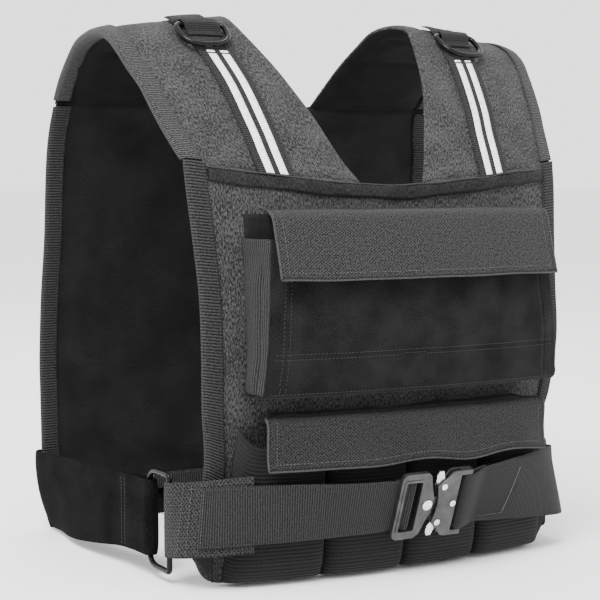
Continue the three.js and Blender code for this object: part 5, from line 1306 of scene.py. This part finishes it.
# the belt's own directions at a share of its way: along it, up across it, and out of its face
def beltFrame(share):
    share = np.asarray(share, float)
    ahead = beltPlace(np.minimum(share + 0.01, 1)) - beltPlace(np.maximum(share - 0.01, 0))
    ahead[..., 2] = 0
    ahead /= np.linalg.norm(ahead, axis=-1, keepdims=True)
    lean = np.radians(belt["lean"]) * tableColumn(belt["rows"], 3, share)[..., None]
    level = np.stack([-ahead[..., 1], ahead[..., 0], 0 * ahead[..., 0]], axis=-1)
    up = level * np.sin(lean) + np.array([0, 0, 1.0]) * np.cos(lean)
    out = level * np.cos(lean) - np.array([0, 0, 1.0]) * np.sin(lean)
    return beltPlace(share), ahead, up, out


# the share of the way whose place is x, found in a fine table
def beltShareAt(x):
    shares = np.linspace(0, 1, 4001)
    return float(np.interp(-x, -beltPlace(shares)[:, 0], shares))


# a web through stations (share, stand-off, shift along, turn, height): flat, with edges that thin
def webPiece(name, stations, thick, finish, replaced, mirror=False, columns=15, wavy=0.35, seed=1):
    share, outBy, alongBy, turn, tall = np.asarray(stations, float).T
    place, ahead, up, out = beltFrame(share)
    centre = place + out * outBy[:, None] + ahead * alongBy[:, None]
    facing = out * np.cos(turn)[:, None] + ahead * np.sin(turn)[:, None]
    rise = np.linspace(-1, 1, columns)[None, :, None]
    spine = centre[:, None] + up[:, None] * rise * tall[:, None, None] / 2
    edge = 1 - 0.4 * np.abs(rise) ** 10
    steps = np.concatenate([[0], np.linalg.norm(np.diff(centre, axis=0), axis=1).cumsum()])
    wave = ripple(steps[:, None], rise[..., 0] * 25, wavy, 70, seed)[..., None] * np.cos(turn)[:, None, None] ** 2
    outer = spine + facing[:, None] * (thick / 2 * edge + wave)
    inner = spine - facing[:, None] * (thick / 2 * edge - wave)
    if mirror:
        outer, inner = mirrorPoints(outer), mirrorPoints(inner)
    piece = wallPiece(name, outer, inner, finish, replaced)
    cutSheet(piece, outer)


# half a turn round a bar, from the back layer to the front one
def barTurn(share, middle, radius, side, tall, count=12):
    turn = np.linspace(math.pi, 0, count)
    return np.stack([
        np.full(count, share), middle + radius * np.cos(turn), side * radius * np.sin(turn), side * turn,
        np.full(count, tall),
    ], axis=1)


# stations at one stand-off, turn and height
def layer(shares, outBy, turn, tall):
    shares = np.asarray(shares, float)
    return np.stack(np.broadcast_arrays(shares, outBy, 0.0, turn, tall), axis=1)


pitch = cloth["webThick"] + cloth["layerGap"]
buckleStand = pitch + cloth["webThick"] / 2 + 0.4 + 2
ringTurn = belt["wire"] / 2 + 0.4 + cloth["webThick"] / 2
wideEnd, narrowStart = beltShareAt(belt["wideEndX"]), beltShareAt(belt["narrowStartX"])


# the stand-off eases from the ring to its further value
def fromRing(share, further, sign):
    return lerp(sign * ringTurn, further, smoothStep(share, 0, 0.24))


shares = np.linspace(0.006, wideEnd, 60)
wideTall = belt["wideTall"]
wideStations = np.concatenate([
    layer(shares[::-1], fromRing(shares[::-1], -pitch, -1), math.pi, wideTall),
    barTurn(0, 0, ringTurn, -1, wideTall),
    layer(shares, fromRing(shares, 0, 1), 0, wideTall),
])
webPiece(
    "wideWeb", wideStations, 1.6, finishes["wideWeb"], ["belt_web_wide"],
    mirror=True, wavy=0.15,
)

maleBar = {"half": 2.8, "slotTall": 47.2}
barRadius = maleBar["half"] * math.sqrt(0.5) + cloth["gap"] + cloth["webThick"] / 2
slotTall = maleBar["slotTall"]
beforeSlot, sideBar, centreBar = beltShareAt(39), beltShareAt(22.5), beltShareAt(14)
shares = np.linspace(narrowStart, beforeSlot, 90)
into = np.linspace(beforeSlot, beltShareAt(27), 8)[1:]
narrowStations = np.concatenate([
    layer(shares, pitch, 0, belt["narrowTall"]),
    layer(into, pitch, 0, lerp(belt["narrowTall"], slotTall, np.linspace(0.2, 1, 7))),
    layer([sideBar], pitch, 0, slotTall),
    barTurn(centreBar, buckleStand - 1.8, barRadius, 1, slotTall)[::-1],
    layer([sideBar, beltShareAt(29)], 0, math.pi, slotTall),
])
webPiece(
    "narrowWeb", narrowStations, 1.6, finishes["webbing"], ["belt_web_narrow"],
    mirror=True, wavy=0.25, seed=2,
)

femaleBar = {"buckleTall": 64, "rim": 9, "slack": 0.8, "half": 3}
femaleTall = femaleBar["buckleTall"] - femaleBar["rim"] - femaleBar["slack"]
femaleRadius = femaleBar["half"] * math.sqrt(0.5) + cloth["gap"] + cloth["webThick"] / 2
barShare, nearFemale = beltShareAt(40.5), beltShareAt(68.5)


# the height falls from the wide end to the slot of the buckle
def rightTall(share):
    return femaleTall + tableColumn(belt["rows"], 5, share) * (belt["wideTall"] - femaleTall)


# the stand-off eases from a layer to the far or near side of the bar
def toFemale(share, before, sign):
    return lerp(before, buckleStand + sign * femaleRadius, smoothStep(share, nearFemale, barShare))


shares = np.linspace(0.006, wideEnd, 60)[::-1]
longRun = np.linspace(0.006, nearFemale, 140)
last = np.linspace(nearFemale, barShare, 24)[1:-1]
rightStations = np.concatenate([
    layer(shares, fromRing(shares, -pitch, -1), math.pi, rightTall(shares)),
    barTurn(0, 0, ringTurn, -1, belt["wideTall"]),
    layer(longRun, fromRing(longRun, 0, 1), 0, rightTall(longRun)),
    layer(last, toFemale(last, 0, 1), 0, rightTall(last)),
    barTurn(barShare, buckleStand, femaleRadius, 1, femaleTall)[::-1],
    layer(last[::-1], toFemale(last[::-1], -pitch, -1), math.pi, femaleTall),
])
webPiece(
    "rightWeb", rightStations, 1.6, finishes["plainWeb"], ["belt_web_right"],
    wavy=0.2, seed=3,
)


# thread on the belt's face: shares along it, rises from -1 to 1 of half its height
def beltThread(share, rise, tall, stand, mirror=False):
    place, ahead, up, out = beltFrame(np.asarray(share, float))
    path = place + up * np.asarray(rise)[:, None] * (tall / 2) + out * (stand + 0.9)
    return (mirrorPoints(path), mirrorPoints(out)) if mirror else (path, out)


lightRows, darkRows = [], []
for x in (184, 180):
    darkRows.append(beltThread(np.full(12, beltShareAt(x)), np.linspace(-0.95, 0.95, 12), 50, pitch, True))
start = beltShareAt(186)
lightRows.append(beltThread(np.full(12, start + 0.004), np.linspace(-0.95, 0.95, 12), 50, pitch, True))
for rise in (-0.93, 0.93):
    darkRows.append(beltThread(np.linspace(start, beltShareAt(152), 40), np.full(40, rise), 50, pitch, True))
for x in (197, 193):
    lightRows.append(beltThread(np.full(12, beltShareAt(x)), np.linspace(-0.95, 0.95, 12), 64, 1.4, True))
a, b, c = beltShareAt(97), beltShareAt(114), beltShareAt(66)
slantRows = [beltThread(np.linspace(b, a, 20), np.linspace(0.75, -0.86, 20), 52, 0.1)]
lightRows.append(beltThread(np.linspace(a, c, 20), np.full(20, -0.88), 50, 0.1))
darkRows.append(beltThread(np.linspace(a, b, 20), np.linspace(-0.86, 0.1, 20), 52, 0.1))
darkRows.append(beltThread(np.linspace(a, c, 20), np.full(20, 0.88), 50, 0.1))
stitchRow("slantStitches", slantRows, "brightThread", pitch=2.2, share=0.9, radius=0.45)
stitchRow("beltStitches", lightRows, "thread", pitch=2.8, radius=0.42)
stitchRow("beltDarkStitches", darkRows, "darkThread", pitch=2.8, radius=0.4)
print("front belt made")

sideStrap = {
    "tall": 76, "ringTall": 66, "thick": 4, "stand": 0.4, "overlap": 55, "sag": 13, "tuck": 15,
    # along, across, reach, sag
    "rows": [
        [0, 1, 0, 0], [0.08, 1.003, 0.075, 0], [0.15, 1.02, 0.14, 0.02], [0.35, 1.05, 0.34, 0.25], [0.6, 1.07, 0.66, 0.65],
        [0.75, 1.078, 0.85, 0.86], [0.85, 1.076, 0.945, 0.96], [0.92, 1.04, 1, 1], [1, 0.9, 1, 1],
    ],
}
bowY = -101 + 46 - 5


# outside of the back panel, plus the stand and half the strap
def backOutsideY(x):
    panelY = backFaceY(x, cloth["backBeltZ"] + sideStrap["tall"] / 2) + cloth["padThick"]
    return panelY + sideStrap["stand"] + sideStrap["thick"] / 2


crestY = float(backOutsideY(180.0))


# place, direction and outside normal of the strap round the side
def sideFrame(share):
    # across, reach and sag by the columns of the strap
    def place(along):
        return pointGrid(
            tableColumn(sideStrap["rows"], 1, along) * 200,
            lerp(bowY - 3, crestY, tableColumn(sideStrap["rows"], 2, along)),
            cloth["backBeltZ"] - sideStrap["sag"] * tableColumn(sideStrap["rows"], 3, along),
        )

    ahead = place(np.minimum(share + 0.01, 1)) - place(np.maximum(share - 0.01, 0))
    ahead /= np.linalg.norm(ahead, axis=-1, keepdims=True)
    return place(share), ahead, np.stack([ahead[..., 1], -ahead[..., 0], 0 * ahead[..., 0]], axis=-1)


backTurn = 2.5 + 0.4 + 2
layerPitch = 4.4
overlapEnd = sideStrap["overlap"] / (crestY - bowY)
innerShares = np.linspace(overlapEnd, 0.005, 26)
outerShares = np.linspace(0.005, 0.985, 120)
turn = np.linspace(math.pi, 0, 14)
blendInner, blendOuter = smoothStep(innerShares, 0.05, 0.25), smoothStep(outerShares, 0.05, 0.25)
share = np.concatenate([innerShares, np.zeros(14), outerShares])
outBy = np.concatenate([lerp(-backTurn, -layerPitch, blendInner), backTurn * np.cos(turn), lerp(backTurn, 0, blendOuter)])
alongBy = np.concatenate([0 * innerShares, -backTurn * np.sin(turn), 0 * outerShares])
turns = np.concatenate([np.full(26, math.pi), -turn, np.zeros(120)])
place, ahead, out = sideFrame(share)
centre = place + out * outBy[:, None] + ahead * alongBy[:, None]
facing = out * np.cos(turns)[:, None] + ahead * np.sin(turns)[:, None]
tall = lerp(sideStrap["ringTall"], sideStrap["tall"], smoothStep(share, 0.15, 0.6))
xs = np.linspace(172, 0, 50)
centre = np.concatenate([centre, pointGrid(xs, backOutsideY(xs), cloth["backBeltZ"] - sideStrap["sag"])])
facing = np.concatenate([facing, unit(0, 1, 0, 50)])
tall = np.concatenate([tall, np.full(50, sideStrap["tall"])])
centre = np.concatenate([centre, mirrorPoints(centre[-2::-1])])
facing = np.concatenate([facing, mirrorPoints(facing[-2::-1])])
tall = np.concatenate([tall, tall[-2::-1]])
rise = np.sin(np.linspace(-0.5, 0.5, 21) * math.pi)[None, :, None]
spine = centre[:, None] + np.array([0, 0, 1.0]) * rise * tall[:, None, None] / 2
behind = smoothStep(centre[:, 1], 60, 165)[:, None, None]
spine = spine - facing[:, None] * behind * sideStrap["tuck"] * ((1 - rise) / 2) ** 2.4
steps = np.concatenate([[0], np.linalg.norm(np.diff(centre, axis=0), axis=1).cumsum()])
swell = 0.3 + 0.7 * np.sqrt(1 - np.abs(rise) ** 8 * 0.98)
wave = ripple(steps[:, None], rise[..., 0] * 38, 0.5, 60, 81)[..., None]
outerFace = spine + facing[:, None] * (2.0 * swell + wave)
innerFace = spine - facing[:, None] * (2.0 * swell - wave)
backBelt = wallPiece("backBelt", outerFace, innerFace, finishes["nap"], ["back_belt"])
cutSheet(backBelt, outerFace)
strapRows = []
for at in (0.16, 0.19):
    place, ahead, out = sideFrame(np.full(14, at))
    stand = lerp(backTurn, 0, float(smoothStep(np.array(at), 0.05, 0.25))) + 2.0
    path = place + out * stand + np.array([0, 0, 1.0]) * np.linspace(-30, 30, 14)[:, None]
    strapRows += [(path, out), (mirrorPoints(path), mirrorPoints(out))]
stitchRow("backBeltStitches", strapRows, "darkThread", pitch=3.0, radius=0.45)
print("back belt made")


# a copy of a CAD node with its flat faces joined and its edges broken by a small bevel
def finerCopy(name, node, body, bevel, finish):
    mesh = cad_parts[node].data.copy()
    work = bmesh.new()
    work.from_mesh(mesh)
    bmesh.ops.remove_doubles(work, verts=work.verts, dist=1e-6)
    bmesh.ops.dissolve_limit(work, angle_limit=math.radians(1), verts=work.verts, edges=work.edges)
    for face in work.faces:
        face.smooth = True
    work.to_mesh(mesh)
    work.free()
    piece = bpy.data.objects.new(name, mesh)
    scene.collection.objects.link(piece)
    mesh.materials.clear()
    mesh.materials.append(finish)
    soft = piece.modifiers.new("brokenEdges", "BEVEL")
    soft.width = bevel * 0.001
    soft.segments = 2
    soft.limit_method = "ANGLE"
    soft.angle_limit = math.radians(25)
    soft.harden_normals = True
    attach(piece, body)
    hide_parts(node)
    return piece


buckle = {"bevel": 0.45, "leverBevel": 0.3}
for half in ("Male", "Female"):
    finerCopy("buckle" + half, "buckle_" + half.lower(), "vest", buckle["bevel"], finishes["gunMetal"])
for end in ("Top", "Bottom"):
    body = "lever_" + end.lower()
    finerCopy("lever" + end, "buckle_" + body, body, buckle["leverBevel"], finishes["brightMetal"])

place, ahead, up, out = (x[0] for x in beltFrame(np.array([1.0])))
buckleMiddle = place + out * buckleStand


# a rivet: a profile of radius and height turned about the buckle's own normal, with domed heads
def rivet(name, node, x, y, head, thick):
    low = thick / 2 + 0.2
    dome = np.linspace(0, math.pi / 2, 7)
    top = np.stack([head * np.cos(dome), low + 0.25 + 0.8 * np.sin(dome)], axis=1)
    profile = np.concatenate([[[1.5, 0], [1.5, low], [head, low]], top[:-1], [[0.02, low + 1.05]]])
    profile = np.concatenate([profile[::-1] * [1, -1], profile[1:]])
    angle = np.linspace(0, 2 * math.pi, 28, endpoint=False)
    right = np.array([1.0, 0, 0])
    centre = buckleMiddle + right * x + up * y
    sections = (
        centre
        + profile[:, None, :1] * (np.cos(angle)[None, :, None] * right + np.sin(angle)[None, :, None] * up)
        + profile[:, None, 1:] * out
    )
    return sweptPiece(name, sections, finishes["brightMetal"], [node])


rivet("rivetTongue", "rivet_tongue", 4, 0, 5, 4)
rivet("rivetLeverTop", "rivet_lever_top", 17, 17.5, 3, 7.2)
rivet("rivetLeverBottom", "rivet_lever_bottom", 17, -17.5, 3, 7.2)
rivet("rivetPlate", "rivet_plate", 29.5, 0, 3, 7.2)
print("buckle made")

studio = {"floorZ": -0.4775, "floorReach": 30.0, "sky": 2.2, "key": 160, "fill": 8, "rim": 20}
floorMesh = bpy.data.meshes.new("floor")
far = studio["floorReach"]
corners = [(x, y, studio["floorZ"]) for x, y in ((-far, -far), (far, -far), (far, far), (-far, far))]
floorMesh.from_pydata(corners, [], [(0, 1, 2, 3)])
floor = bpy.data.objects.new("floor", floorMesh)
scene.collection.objects.link(floor)
paper = Recipe("palePaper", Roughness=0.95)
paper.shader.inputs["Base Color"].default_value = (0.9, 0.9, 0.9, 1)
floorMesh.materials.append(paper.material)

world = bpy.data.worlds.new("studio")
scene.world = world
world.use_nodes = True
sky = world.node_tree.nodes["Background"]
sky.inputs["Color"].default_value = (1, 1, 1, 1)
sky.inputs["Strength"].default_value = studio["sky"]


# a square soft lamp at a place, turned to its aim
def softLight(name, place, aim, size, power):
    lamp = bpy.data.lights.new(name, "AREA")
    lamp.shape = "RECTANGLE"
    lamp.size = size
    lamp.size_y = size
    lamp.energy = power
    holder = bpy.data.objects.new(name, lamp)
    holder.location = place
    holder.rotation_euler = (Vector(aim) - Vector(place)).to_track_quat("-Z", "Y").to_euler()
    scene.collection.objects.link(holder)


middle = (0, 0, -0.25)
softLight("keyLight", (-1.4, -1.2, 2.0), middle, 1.2, studio["key"])
softLight("fillLight", (1.9, -1.4, 0.6), middle, 1.6, studio["fill"])
softLight("rimLight", (0.4, 1.8, 1.6), middle, 1.4, studio["rim"])

photoView = {"eye": (-0.808, -1.376, -0.128), "aim": (-0.0309, -0.030, -0.245), "lens": 100.8}
camera = bpy.data.cameras.new("camera")
camera.lens = photoView["lens"]
camera.sensor_width = 36
camera.clip_end = 200
eye = bpy.data.objects.new("camera", camera)
eye.location = photoView["eye"]
eye.rotation_euler = (Vector(photoView["aim"]) - Vector(photoView["eye"])).to_track_quat("-Z", "Y").to_euler()
scene.collection.objects.link(eye)
scene.camera = eye

print("scene done")
